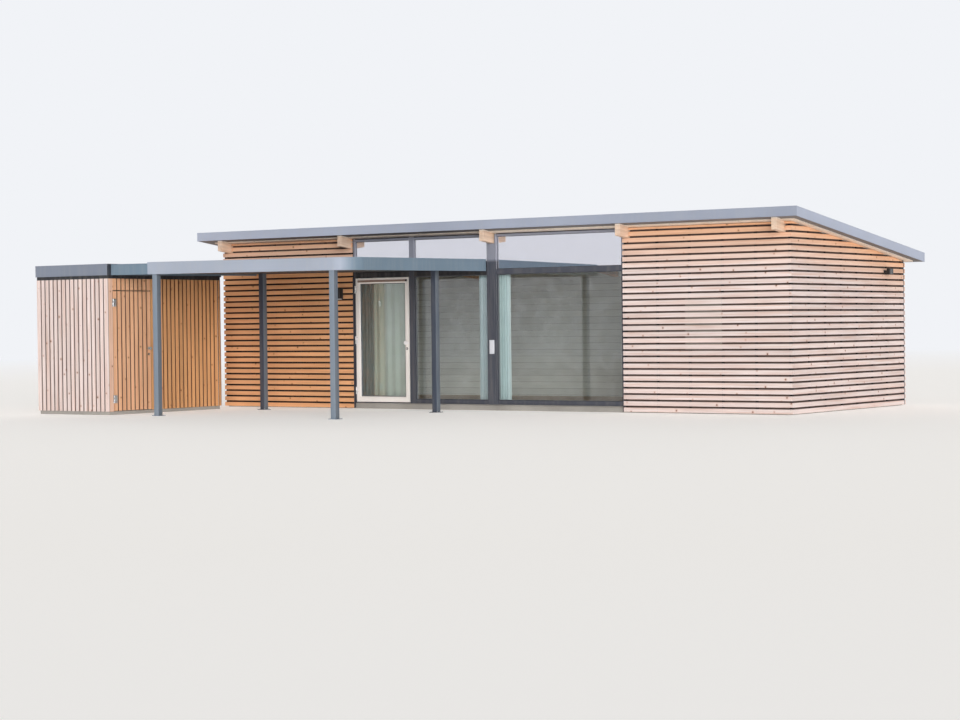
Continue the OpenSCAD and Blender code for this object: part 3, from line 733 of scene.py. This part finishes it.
# The front edge grows paler toward the left: painted light.
house_edge("front", ((ROOF_X0, ROOF_Y0), (ROOF_X1, ROOF_Y0), long_seams), tone=fade(0.9, -1.0))
house_edge("back", ((ROOF_X1, ROOF_Y1), (ROOF_X0, ROOF_Y1), long_seams))
right_side = ((ROOF_X1, ROOF_Y0), (ROOF_X1, ROOF_Y1), side_seams)
left_side = ((ROOF_X0, ROOF_Y1), (ROOF_X0, ROOF_Y0), side_seams)
# The sides take most of the paler colour: painted light.
house_edge("sides", right_side, left_side, tone=0.75)

# Walls and floor inside

BOARD_FOOT, BOARD_TOP, BOARD_W = FLOOR - 0.015, FLOOR - 0.0001, 0.16
for name in ("front_wall_left", "front_wall_right", "left_wall", "right_wall", "back_wall"):
    finish_node(name, LINING)
slab = Shape()
slab.bar((-WALL_X, -WALL_Y, 0), (WALL_X, WALL_Y, BOARD_FOOT - 0.0005), 0.006, axis=0)
slab.make("floor_plate", [CONCRETE], "floor", "floor_slab")
deck = Shape()
half = 0.0005  # half the joint between two boards
y = -ROOM_Y
while y < ROOM_Y - 0.01:
    x = -ROOM_X
    while x < ROOM_X - 0.01:
        end = min(ROOM_X, x + chance.uniform(1.6, 2.6))
        if ROOM_X - end < 0.5:
            end = ROOM_X
        far_side = min(ROOM_Y, y + BOARD_W)
        deck.bar((x + half, y + half, BOARD_FOOT), (end - half, far_side - half, BOARD_TOP), 0.0015, axis=0)
        x = end
    y += BOARD_W
# The rim of the floor, under the walls and the glazed front
for x0, y0, x1, y1 in ((-WALL_X, -WALL_Y, -ROOM_X, -ROOM_Y), (-GLASS_X, -WALL_Y, GLASS_X, -ROOM_Y),
                       (ROOM_X, -WALL_Y, WALL_X, -ROOM_Y), (-WALL_X, ROOM_Y, WALL_X, WALL_Y),
                       (-WALL_X, -ROOM_Y, -ROOM_X, ROOM_Y), (ROOM_X, -ROOM_Y, WALL_X, ROOM_Y),
                       (-ROOM_X, -WALL_Y, -GLASS_X, -ROOM_Y), (GLASS_X, -WALL_Y, ROOM_X, -ROOM_Y)):
    deck.bar((x0, y0, BOARD_FOOT), (x1, y1, BOARD_TOP), 0.001, axis=0, slot=1)
deck.make("floor_boards", [FLOOR_BOARDS, CONCRETE], "floor")

# Glazing

THRESHOLD = 0.112  # top of the rail under the door
SILL, LIGHT_TOP = PANE_LO.z, PANE_HI.z
GLASS_Y = (PANE_LO.y, PANE_HI.y)
BAYS = [(PANE_LO.x, MULLION[0]), (MULLION[1], POST_LO.x), (POST_HI.x, PANE_HI.x)]
SHEET = 0.005  # thickness of one sheet of a pane


def bead(shape, x0, x1, z0, z1, y0, y1):
    """Glazing beads and seals round a pane, on both faces."""
    w = 0.005
    for y, way in ((y0, -1), (y1, 1)):
        strip = [(0, y), (-w, y), (-w, y + way * 0.004), (-w * 0.5, y + way * 0.011), (0, y + way * 0.011)]
        seal = [(-w, y), (-w - 0.004, y), (-w - 0.003, y + way * 0.0025), (-w, y + way * 0.003)]
        shape.border(x0, x1, z0, z1, strip)
        shape.border(x0, x1, z0, z1, seal, 1)


def unit(shape, x0, x1, z0, z1, y0, y1, slot=0):
    """A pane of two sheets, with a spacer between them in slot 2."""
    for a, b in ((y0, y0 + SHEET), (y1 - SHEET, y1)):
        shape.bar((x0, a, z0), (x1, b, z1), 0.0005, axis=0, slot=slot)
    spacer = [(0, y0 + SHEET), (-0.012, y0 + SHEET), (-0.012, y1 - SHEET), (0, y1 - SHEET)]
    shape.border(x0, x1, z0, z1, spacer, 2)


main = Shape()
x0, y0, foot = POST_LO
x1, y1 = POST_HI[:2]
beside_beam, under_beam = ceiling(y1) - 0.001, FRONT - BEAM_H - 0.02 * SLOPE - 0.002
for a, b, inset, top in ((x0, x0 + 0.030, 0.004, beside_beam), (x0 + 0.033, x1 - 0.033, 0.0, under_beam),
                         (x1 - 0.030, x1, 0.004, beside_beam)):
    main.bar((a, y0 + inset, foot), (b, y1 - 0.001, top), 0.003)
main.bar((x0 + 0.005, y0 + 0.012, foot), (x1 - 0.005, y1, FRONT - BEAM_H - 0.006), 0.001, slot=1)
main.make("main_post_cased", [FRAME_METAL, SEAL], "dark_metal", "main_post")

uprights, rails, panes, beads = Shape(), Shape(), Shape(), Shape()
frame_top = ceiling(FRAME_Y1) - 0.0002
middle = (FRAME_Y0 + FRAME_Y1) / 2
for a, b in ((-GLASS_X, PANE_LO.x), MULLION, (PANE_HI.x, GLASS_X)):
    uprights.bar((a, FRAME_Y0, FLOOR), (b, FRAME_Y1, frame_top), 0.0025)
    gasket = (a - 0.0004, middle - 0.006, FLOOR + 0.01), (b + 0.0004, middle + 0.006, frame_top - 0.01)
    uprights.bar(*gasket, 0.0002, slot=1)
for k, (a, b) in enumerate(BAYS):
    low, high = (a, FRAME_Y0, FLOOR), (b, FRAME_Y1, frame_top)
    rails.bar(low, (b, FRAME_Y1, SILL if k else THRESHOLD), 0.0025, axis=0)
    # Under the canopy the transoms take the dark soffit colour: painted shade.
    rails.bar((a, FRAME_Y0, TRANSOM), (b, FRAME_Y1, LIGHT_FOOT), 0.0025, axis=0, slot=0 if k == 2 else 2)
    rails.bar((a, FRAME_Y0, LIGHT_TOP), high, 0.0025, axis=0)
    seal = (b, FRAME_Y0 + 0.008, ceiling(FRAME_Y0 + 0.008) - 0.0003)
    rails.bar((a, FRAME_Y0 - 0.002, ceiling(FRAME_Y1) - 0.006), seal, 0.001, axis=0, slot=1)
    if k:
        rails.bar((a, FRAME_Y0 - 0.018, FLOOR + 0.0005), (b, FRAME_Y0 + 0.002, THRESHOLD), 0.002, axis=0)
        unit(panes, a, b, SILL, TRANSOM, *GLASS_Y)
        bead(beads, a, b, SILL, TRANSOM, *GLASS_Y)
    unit(panes, a, b, LIGHT_FOOT, LIGHT_TOP, *GLASS_Y, slot=1)
    bead(beads, a, b, LIGHT_FOOT, LIGHT_TOP, *GLASS_Y)
uprights.make("frame_uprights", [FRAME_METAL, SEAL], "dark_metal", "window_uprights")
rails.make("frame_rails", [FRAME_METAL, SEAL, SOFFIT_AND_SHADE_METAL], "dark_metal", "window_rails")
panes.make("glass_panes", [CLEAR, SKYLIT, SPACER], "window_glass", "window_panes")
beads.make("glazing_beads", [FRAME_METAL, SEAL], "dark_metal")

# Glazed door

STILE = 0.095  # width of the leaf's frame
BARREL = [(0.0, 0.0), (0.0, 0.0085), (0.001, 0.009), (0.060, 0.009), (0.064, 0.007), (0.065, 0.0)]


def knob(shape, at, out, r=0.027):
    """A round knob on a rose, with a lock below it. r is the knob's radius."""
    rose = [(0, 0), (0, 0.026), (0.004, 0.026), (0.007, 0.024), (0.008, 0.012), (0.02, 0.011), (0.032, 0.012)]
    ball = [(0.035, 0.74), (0.04, 0.94), (0.046, 1), (0.053, 0.94), (0.058, 0.74), (0.06, 0.37), (0.06, 0)]
    shape.turned(at, out, rose + [(w, r * share) for w, share in ball])
    low = Vector(at) - Vector((0, 0, 0.100))
    shape.turned(low, out, [(0, 0), (0, 0.021), (0.004, 0.021), (0.006, 0.019), (0.006, 0)], 28, 1)
    shape.turned(low, out, [(0.005, 0), (0.005, 0.0085), (0.0115, 0.0085), (0.012, 0.0075), (0.012, 0)], 24)


def hinge(shape, edge, along, out, pin, leaf, screws, head):
    """A barrel and two leaves on a door's face. edge is on the door's edge, and along leads away from it.

    pin is the pin's place along the door, and leaf the upper leaf's ends. A screw is (along, height).
    """
    edge, along, out = Vector(edge), Vector(along), Vector(out)
    shape.turned(edge + along * pin + out * 0.011, (0, 0, 1), BARREL, 24)
    link, upper = (-0.004, 0, 0.011, 0, 0.0006), (*leaf, 0.004, 0, 0.001)
    lower = (0.008, leaf[1], 0.004, -0.065, 0.001)
    for a, b, depth, foot, bevel in (link, upper, lower):
        p, q = edge + along * a, edge + along * b + out * depth
        z = edge.z + foot
        shape.bar((min(p.x, q.x), min(p.y, q.y), z), (max(p.x, q.x), max(p.y, q.y), z + 0.065), bevel)
    for s, t in screws:
        shape.dot(edge + along * s + out * 0.004 + Vector((0, 0, t)), out, head, 0.0008)


leaf = Shape()
x0, y0, z0 = DOOR_LO
x1, y1, z1 = DOOR_HI
inner = [(-STILE, 0.016), (0.010 - STILE, 0.006), (0.020 - STILE, 0.004), (0.024 - STILE, 0)]
groove = [(-0.045, 0), (-0.044, 0.005), (-0.039, 0.005), (-0.038, 0)]
outer = [(-0.002, 0), (-0.0006, 0.002)]
section = [(o, y0 + d) for o, d in reversed(inner + groove + outer)]
leaf.border(x0, x1, z0, z1, section + [(o, y1 - d) for o, d in inner + outer])
leaf.bar((x0 + 0.046, y0 - 0.004, z1 - 0.072), (x1 - 0.046, y0 + 0.003, z1 - 0.034), 0.001, axis=0, slot=1)
button = [(0, 0), (0, 0.019), (0.008, 0.019), (0.010, 0.016), (0.010, 0)]
leaf.turned((x1 - 0.050, y0 - 0.001, z1 - 0.052), (0, -1, 0), button, 24, 2)
leaf.make("door_frame", [CREAM, VENT, BLACK], "cream_paint", "door_leaf", "front_door")

pane = Shape()
(gx0, gy0, gz0), (gx1, gy1, gz1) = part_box("door_glass")
unit(pane, gx0, gx1, gz0, gz1, gy0, gy1)
for y, way in ((gy0, -1), (gy1, 1)):
    seal = [(0, y), (-0.005, y), (-0.004, y + way * 0.003), (0, y + way * 0.003)]
    pane.border(gx0, gx1, gz0, gz1, seal, 1)
pane.make("door_pane", [CLEAR, SEAL, SPACER], "window_glass", "door_glass", "front_door")

fittings = Shape()
knob(fittings, (x1 - STILE / 2, y0, 1.140), (0, -1, 0), 0.035)
for z in (z0 + 0.195, (z0 + z1) / 2, z1 - 0.195):
    hinge(fittings, (x0, y0, z), (1, 0, 0), (0, -1, 0), -0.002, (-0.004, 0.038),
          ((0.010, 0.045), (0.030, 0.045), (0.020, -0.045), (0.030, -0.020)), 0.004)
fittings.make("door_knob_and_hinges", [WHITE, BLACK], "white_fittings", "door_fittings", "front_door", 40)
finish_node("hinge_frames", STEEL)

# Canopy, in its own frame: from its rear left corner to the right and to the front, with a slight tilt

CANOPY_L, CANOPY_D, CANOPY_R = 5.038, 3.670, 0.360
CANOPY_DECK = 0.172  # top of its deck
LOW_END = 0.825  # the edge is lower beside the store, up to here
POST_HALF, POST_ROUND = 0.050, 0.007
place = (Matrix.Translation((-4.945, -2.1103, 2.361)) @ Matrix.Rotation(math.radians(0.4), 4, "Y")
         @ Matrix.Rotation(math.radians(0.54), 4, "X"))


def tilted(q):
    return place @ q


def canopy_post(shape, x, y, front):
    """A square post with rounded corners on a bolted plate, which is cut short on the front posts."""
    local = place.inverted() @ Vector((x, y, 2.3))
    top = (place @ Vector((local.x, local.y, 0.025))).z
    inner = POST_HALF - POST_ROUND
    ring = []
    for turn, right, back in ((0, 1, 1), (90, -1, 1), (180, -1, -1), (270, 1, -1)):
        for angle in (0, 30, 60, 90):
            a = math.radians(turn + angle)
            dx, dy = POST_ROUND * math.cos(a), POST_ROUND * math.sin(a)
            ring.append((x + inner * right + dx, y + inner * back + dy))
    # The rear posts take the darker colour: painted shade under the canopy.
    tone = 0.0 if front else 1.0
    shape.loft([[(a, b, z) for a, b in ring] for z in (0.0, top - 0.002)], tone=tone)
    plate_front = y - (0.070 if front else 0.085)
    shape.bar((x - 0.085, plate_front, 0.0), (x + 0.085, y + 0.085, 0.010), 0.001, tone=tone)
    bolt = [(0, 0), (0, 0.010), (0.007, 0.010), (0.008, 0.008), (0.008, 0)]
    for i in (-1, 1):
        for j in (1,) if front else (-1, 1):
            shape.turned((x + i * 0.068, y + j * 0.068, 0.010), (0, 0, 1), bolt, 6, 1)


metal = Shape(tilted)
high, low = edge_profile(0.0, 0.200, 0.020), edge_profile(0.0, 0.180, 0.020)
arc_x, arc_y = CANOPY_L - CANOPY_R, -CANOPY_D + CANOPY_R
# Tone 1, the darker colour, is painted shade: on the left side, the low run beside the store, round the
# corner and on the right side.
edge_run(metal, (0, 0), (0, -CANOPY_D), low, [1.8], 1.0, (False, True))
edge_run(metal, (0, -CANOPY_D), (LOW_END, -CANOPY_D), low, [], 1.0, (True, False))
edge_run(metal, (LOW_END + SEAM, -CANOPY_D), (arc_x - 0.001, -CANOPY_D), high, [], 0.0, (False, False))
arc = [[(arc_x + (CANOPY_R + o) * math.sin(t), arc_y - (CANOPY_R + o) * math.cos(t), h) for o, h in high]
       for t in np.linspace(0, math.pi / 2, 19)]
metal.loft(arc, 0, fade(-0.115, 0.055))
edge_run(metal, (CANOPY_L, arc_y + 0.001), (CANOPY_L, 0), high, [], 1.0, (False, False))
metal.make("canopy_edge", [CANOPY_METAL], "grey_metal", "canopy_fascia", smooth=30)
finish_node("canopy_soffit", SOFFIT_AND_SHADE_METAL)
finish_node("canopy_deck_slab", ROOFING)
membrane("canopy_sheets", tilted, (0.03, CANOPY_L - 0.37), (-CANOPY_D + 0.022, -0.004), CANOPY_DECK, 5)
posts = Shape()
for x in (-3.986, -0.286):
    for y, front in ((-5.7073, True), (-3.0473, False)):
        canopy_post(posts, x, y, front)
posts.make("canopy_posts_square", [POST_METAL, STEEL], "post_metal", "canopy_posts", smooth=35)

# Store

SX0, SY0, STORE_FLOOR = STORE_LO
SX1, SY1, STORE_TOP = STORE_HI
BOARDS_FROM = SY0 + THICK  # where the boards of the sides begin
DOORWAY = (BOARDS_FROM + PITCH, BOARDS_FROM + 10 * PITCH)
CUT = (0.0015, 0.006)  # how far a board's side is cut back at the face and at the rear


def store_wall(name, node, face, span, boards, age, heights=(STORE_FLOOR, STORE_TOP), pitch=PITCH,
               start=BOARDS_FROM, deep=STORE_WALL, body="house", strip=True, lining=3, trim=(0, 0),
               timber=LARCH):
    """A wall of upright boards over a black underlay and a timber lining.

    face is (axis it runs along, place of the face, way out). With a strip, the boards end below a dark strip
    under the fascia, painted shade in that recess. trim is what they lack at their foot and top.
    """
    axis, at, way = face
    s = Shape()
    z0, z1 = heights
    foot, top = z0 + trim[0], (STORE_SLAT_TOP if strip else z1) - trim[1]
    along, out = ((1, 0, 0), (0, way, 0)) if axis == 0 else ((0, 1, 0), (way, 0, 0))

    def point(a, depth=0.0, z=0.0):
        """A place along the wall, behind its face."""
        return Vector((a, at - way * depth, z) if axis == 0 else (at - way * depth, a, z))

    def layer(a, b, d0, d1, low, slot, bevel=0.001):
        """A layer of the wall from place a to b and from depth d0 to d1, from a height to the wall's top."""
        p, q = point(a, d0), point(b, d1)
        s.bar((min(p.x, q.x), min(p.y, q.y), low), (max(p.x, q.x), max(p.y, q.y), z1), bevel, slot=slot)

    first, last = boards
    joints = [start + k * pitch for k in range(-1, 60)]
    marks = [first] + [mark for mark in joints if first + 0.02 < mark < last - 0.02] + [last]
    end = len(marks) - 2
    for i, (a, b) in enumerate(zip(marks, marks[1:])):
        a += GAP / 2 if i else 0.0
        b -= GAP / 2 if i < end else 0.0
        if b - a < 0.008:
            continue
        s.slat(point(a), (0, 0, 1), along, out, foot, top, b - a, CUT if i else (0, 0),
               CUT if i < end else (0, 0), age=age, tone=chance.random(), step=0.6)
        if b - a > 0.03:
            for share in (0.06, 0.35, 0.65, 0.94):
                s.dot(point((a + b) / 2, 0.0, z0 + (top - z0) * share), out)
    # Painted shade: a dark recessed strip over the boards, under the fascia.
    if strip:
        layer(first, last, 0.006, THICK, top + 0.001, 4)
    layer(*span, THICK + 0.0005, 0.030, z0 + 0.001, 2, 0.0005)
    layer(*span, 0.0305, deep - 0.0005, z0 + 0.0005, lining)
    s.make(name, [timber, STEEL, UNDERLAY, PLY, SOFFIT_AND_SHADE_METAL], "larch_slats", node, body)


within, beside = (SX0 + THICK, SX1 - THICK), (SY0 + THICK, SY1 - THICK)
room0, room1 = SY0 + STORE_WALL, SY1 - STORE_WALL
wide = dict(pitch=(SX1 - SX0) / 17, start=SX0)
right = (1, SX1, 1)
store_wall("store_slats_front", "store_front_wall", (0, SY0, -1), within, (SX0, SX1), 1.0, **wide)
store_wall("store_slats_back", "store_back_wall", (0, SY1, 1), within, (SX0, SX1), 0.6, **wide)
store_wall("store_slats_left", "store_left_wall", (1, SX0, -1), (room0, room1), beside, 0.7)
store_wall("store_slats_right", "store_right_wall", right, (DOORWAY[1], room1),
           (DOORWAY[1] + 0.004, beside[1]), 0.1, timber=SHADED_LARCH)
store_wall("store_slats_post", "store_door_post", right, (room0, DOORWAY[0]),
           (beside[0], DOORWAY[0] - 0.004), 0.5)
store_wall("store_slats_head", "store_door_head", right, DOORWAY, DOORWAY, 0.2,
           (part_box("store_door_head")[0].z, STORE_TOP), lining=2, trim=(0.004, 0))
hatch = (HATCH_LO.y, HATCH_HI.y)
store_wall("store_door_slats", "store_door", right, hatch, hatch, 0.22, (HATCH_LO.z, HATCH_HI.z), deep=0.052,
           body="store_door", strip=False, lining=2, trim=(0, 0.004))

base_plate = Shape()
base_plate.bar((within[0], beside[0], 0), (within[1], beside[1], STORE_FLOOR), 0.004, axis=0)
base_plate.make("store_plate", [CONCRETE], "floor", "store_floor_slab")
finish_node("store_roof", ROOFING)
(ex0, ey0, ez0), (ex1, ey1, ez1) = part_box("store_fascia_ring")
corners = [(ex0, ey0), (ex1, ey0), (ex1, ey1), (ex0, ey1), (ex0, ey0)]
edge = Shape()
for k, (a, b) in enumerate(zip(corners, corners[1:])):
    seams = [math.dist(a, b) / 2] if k % 2 else []
    # The right side takes the darker colour: painted shade.
    edge_run(edge, a, b, edge_profile(ez0, ez1, 0.0148), seams, tone=float(k == 1))
edge.make("store_edge", [STORE_METAL], "grey_metal", "store_fascia_ring")
store_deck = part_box("store_roof")[1].z
membrane("store_sheets", None, (SY0, SY1), (SX0 + 0.002, SX1 - 0.002), store_deck, 3, 0.04, 0.002, 1)

latch = Shape()
knob(latch, (SX1, HATCH_HI.y - 0.05, 1.100), (1, 0, 0))
for z in (HATCH_LO.z + 0.195, HATCH_HI.z - 0.195):
    hinge(latch, (SX1, HATCH_LO.y, z), (0, 1, 0), (1, 0, 0), -0.0017, (-0.002, 0.068),
          ((0.020, 0.042), (0.052, 0.042), (0.020, -0.042), (0.052, -0.042), (0.036, 0.0)), 0.0045)
latch.make("store_knob_and_hinges", [STEEL, BLACK], "pale_steel", "store_door_fittings", "store_door", 40)

# Lamps, each from the middle of its foot on the wall, and the plate

lo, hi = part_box("wall_lamp")
at = Vector(((lo.x + hi.x) / 2, hi.y, (lo.z + hi.z) / 2))
lamp = Shape(lambda q: q + at)
lamp.bar((-0.040, -0.012, -0.105), (0.040, 0, 0.105), 0.003)
lamp.bar((-0.030, -0.090, -0.085), (0.030, -0.012, 0.095), 0.004)
lamp.bar((-0.025, -0.085, -0.098), (0.025, -0.020, -0.085), 0.003, slot=1)
lamp.make("lamp_body", [BLACK, WHITE], "black_metal", "wall_lamp")

lo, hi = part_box("floodlight")
at = Vector((lo.x, (lo.y + hi.y) / 2, (lo.z + hi.z) / 2))
flood = Shape(lambda q: q + at)
flood.bar((0, -0.025, -0.025), (0.018, 0.025, 0.025), 0.002, axis=0)
flood.bar((0.015, -0.018, -0.018), (0.070, 0.018, 0.018), 0.004, axis=0)
flood.bar((0.068, -0.065, -0.048), (0.130, 0.065, 0.050), 0.006, axis=1)
for k in range(7):
    fin = -0.057 + k * 0.018
    flood.bar((0.072, fin, 0.046), (0.122, fin + 0.004, 0.050), 0.0008, axis=0)
flood.bar((0.126, -0.058, -0.042), (0.136, 0.058, 0.043), 0.002, axis=1, slot=1)
flood.bar((0.050, -0.060, -0.050), (0.075, -0.030, -0.030), 0.004, axis=1)
flood.make("floodlight_head", [BLACK, LENS], "black_metal", "floodlight")

lo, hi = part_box("post_plate")
plate = Shape()
plate.bar((lo.x, hi.y - 0.008, lo.z), hi, 0.004)
plate.bar((lo.x + 0.009, lo.y, lo.z + 0.010), (hi.x - 0.009, lo.y + 0.005, hi.z - 0.010), 0.003)
plate.make("white_plate", [PLATE_GREY], "white_fittings", "post_plate")

# Curtains behind the glass

CURTAIN_FOOT, CURTAIN_TOP, CURTAIN_Y = 0.115, 2.284, -1.955
RAIL_Y0, RAIL_Y1, RAIL_FOOT, RAIL_TOP = -1.972, -1.944, 2.285, 2.300


def fold_line(x0, x1, folds, depth, n):
    """The line of the folds, seen from above."""
    return [(x0 + (x1 - x0) * i / n, depth * math.sin(2 * math.pi * folds * i / n)) for i in range(n + 1)]


def curtain(name, x0, x1, cloth, mat, folds):
    """Gathered cloth: folds as deep as it takes for their length to come to the flat width."""
    n, m = folds * 14, 24
    shallow, deep = 0.0, 0.2
    for _ in range(40):
        points = fold_line(x0, x1, folds, (shallow + deep) / 2, n)
        if sum(math.dist(a, b) for a, b in zip(points, points[1:])) < cloth:
            shallow = (shallow + deep) / 2
        else:
            deep = (shallow + deep) / 2
    s = Shape()
    for j in range(m + 1):
        z = CURTAIN_TOP - (CURTAIN_TOP - CURTAIN_FOOT) * j / m
        gather = 0.80 + 0.20 * min(1, j / 6)
        for i, (x, y) in enumerate(points):
            wave = 0.006 * math.sin(3.1 * i / n * folds + j * 0.21)
            s.point(Vector((x, CURTAIN_Y + y * gather + wave * j / m, z)), (z, x, y))
    for j in range(m):
        for i in range(n):
            a = j * (n + 1) + i
            s.face((a, a + 1, a + n + 2, a + n + 1))
    sheet = s.make(name, [mat], smooth=180)


rail = Shape()
for (a, b), inset in zip(reversed(BAYS), (-0.09, 0.01, 0.01)):
    rail.bar((a + inset, RAIL_Y0, RAIL_FOOT), (b - 0.01, RAIL_Y1, RAIL_TOP), 0.002, axis=0)
for a, b in BAYS:
    for share in (0.04, 0.5, 0.96):
        x = a + (b - a) * share
        bracket = (x - 0.008, FRAME_Y1, RAIL_TOP - 0.004), (x + 0.008, -1.950, RAIL_TOP + 0.012)
        rail.bar(*bracket, 0.002, axis=1)
rail = rail.make("curtain_rails", [WHITE])
curtain("curtain_right", 0.230, 0.475, 0.56, MINT, 5)
curtain("curtain_middle", -0.155, 0.030, 0.40, SHADED_MINT, 3)
curtain("curtain_door", -2.680, -2.400, 0.56, SLATE, 4)
curtain("curtain_net", -2.388, -1.560, 0.88, NET, 5)

# Studio

BACK = rgb(241, 243, 247)
world = bpy.data.worlds.new("studio")
world.use_nodes = True
scene.world = world
sky = Nodes(world.node_tree)
ray = sky.add("LightPath").node.outputs
plain = world.node_tree.nodes["Background"]
plain.inputs["Color"].default_value = (1.0, 0.99, 0.98, 1)
plain.inputs["Strength"].default_value = 0.20
shown = sky.add("Background", {"Color": BACK, "Strength": 1.0})
either = sky.math("MAXIMUM", ray["Is Camera Ray"], ray["Is Glossy Ray"])
sky.blend(sky.math("MAXIMUM", either, ray["Is Transmission Ray"]), plain.outputs[0], shown)

floor = Paint("studio_floor", Base_Color=rgb(226, 225, 222), Roughness=0.95,
              Emission_Color=rgb(250, 247, 244), Emission_Strength=0.42)
glow = floor.add("Emission", {"Color": BACK, "Strength": 1.0})
floor.blend(floor.range(floor.length(floor.place()), 24, 75, 0, 1), floor.shader.outputs[0], glow)
bpy.ops.mesh.primitive_circle_add(vertices=96, radius=260, fill_type="NGON", location=(0, 0, 0))
ground = bpy.context.object
ground.name = "studio_floor"
ground.data.materials.append(floor.mat)


def soft_sun(name, energy, spread, toward, colour):
    """A lamp like a patch of bright sky, in the direction toward."""
    sun = bpy.data.objects.new(name, bpy.data.lights.new(name, "SUN"))
    sun.data.energy = energy
    sun.data.angle = math.radians(spread)
    sun.data.color = colour
    sun.rotation_euler = Vector(toward).to_track_quat("Z", "Y").to_euler()
    scene.collection.objects.link(sun)


soft_sun("key", 0.30, 50, (0.30, -0.60, 0.74), (1.0, 0.985, 0.97))
soft_sun("low_front", 2.67, 36, (0.67, -0.735, 0.09), (1.0, 0.985, 0.97))
soft_sun("low_rear", 0.8, 60, (-0.55, 0.75, 0.35), (1.0, 0.99, 0.98))

# The camera stands where the two vanishing points of the slats put it, level but for a slight roll
EYE = (20.416, -31.592, 1.405)
TILT, ROLL, HEADING = 89.10345, 0.66121, 34.76089
camera = bpy.data.objects.new("camera", bpy.data.cameras.new("camera"))
camera.data.sensor_width = 36
camera.data.lens = 80.51
camera.data.clip_end = 600
turn = Euler([math.radians(angle) for angle in (TILT, ROLL, HEADING)])
camera.matrix_world = Matrix.Translation(EYE) @ turn.to_matrix().to_4x4()
scene.collection.objects.link(camera)
scene.camera = camera
scene.view_settings.view_transform = "Standard"
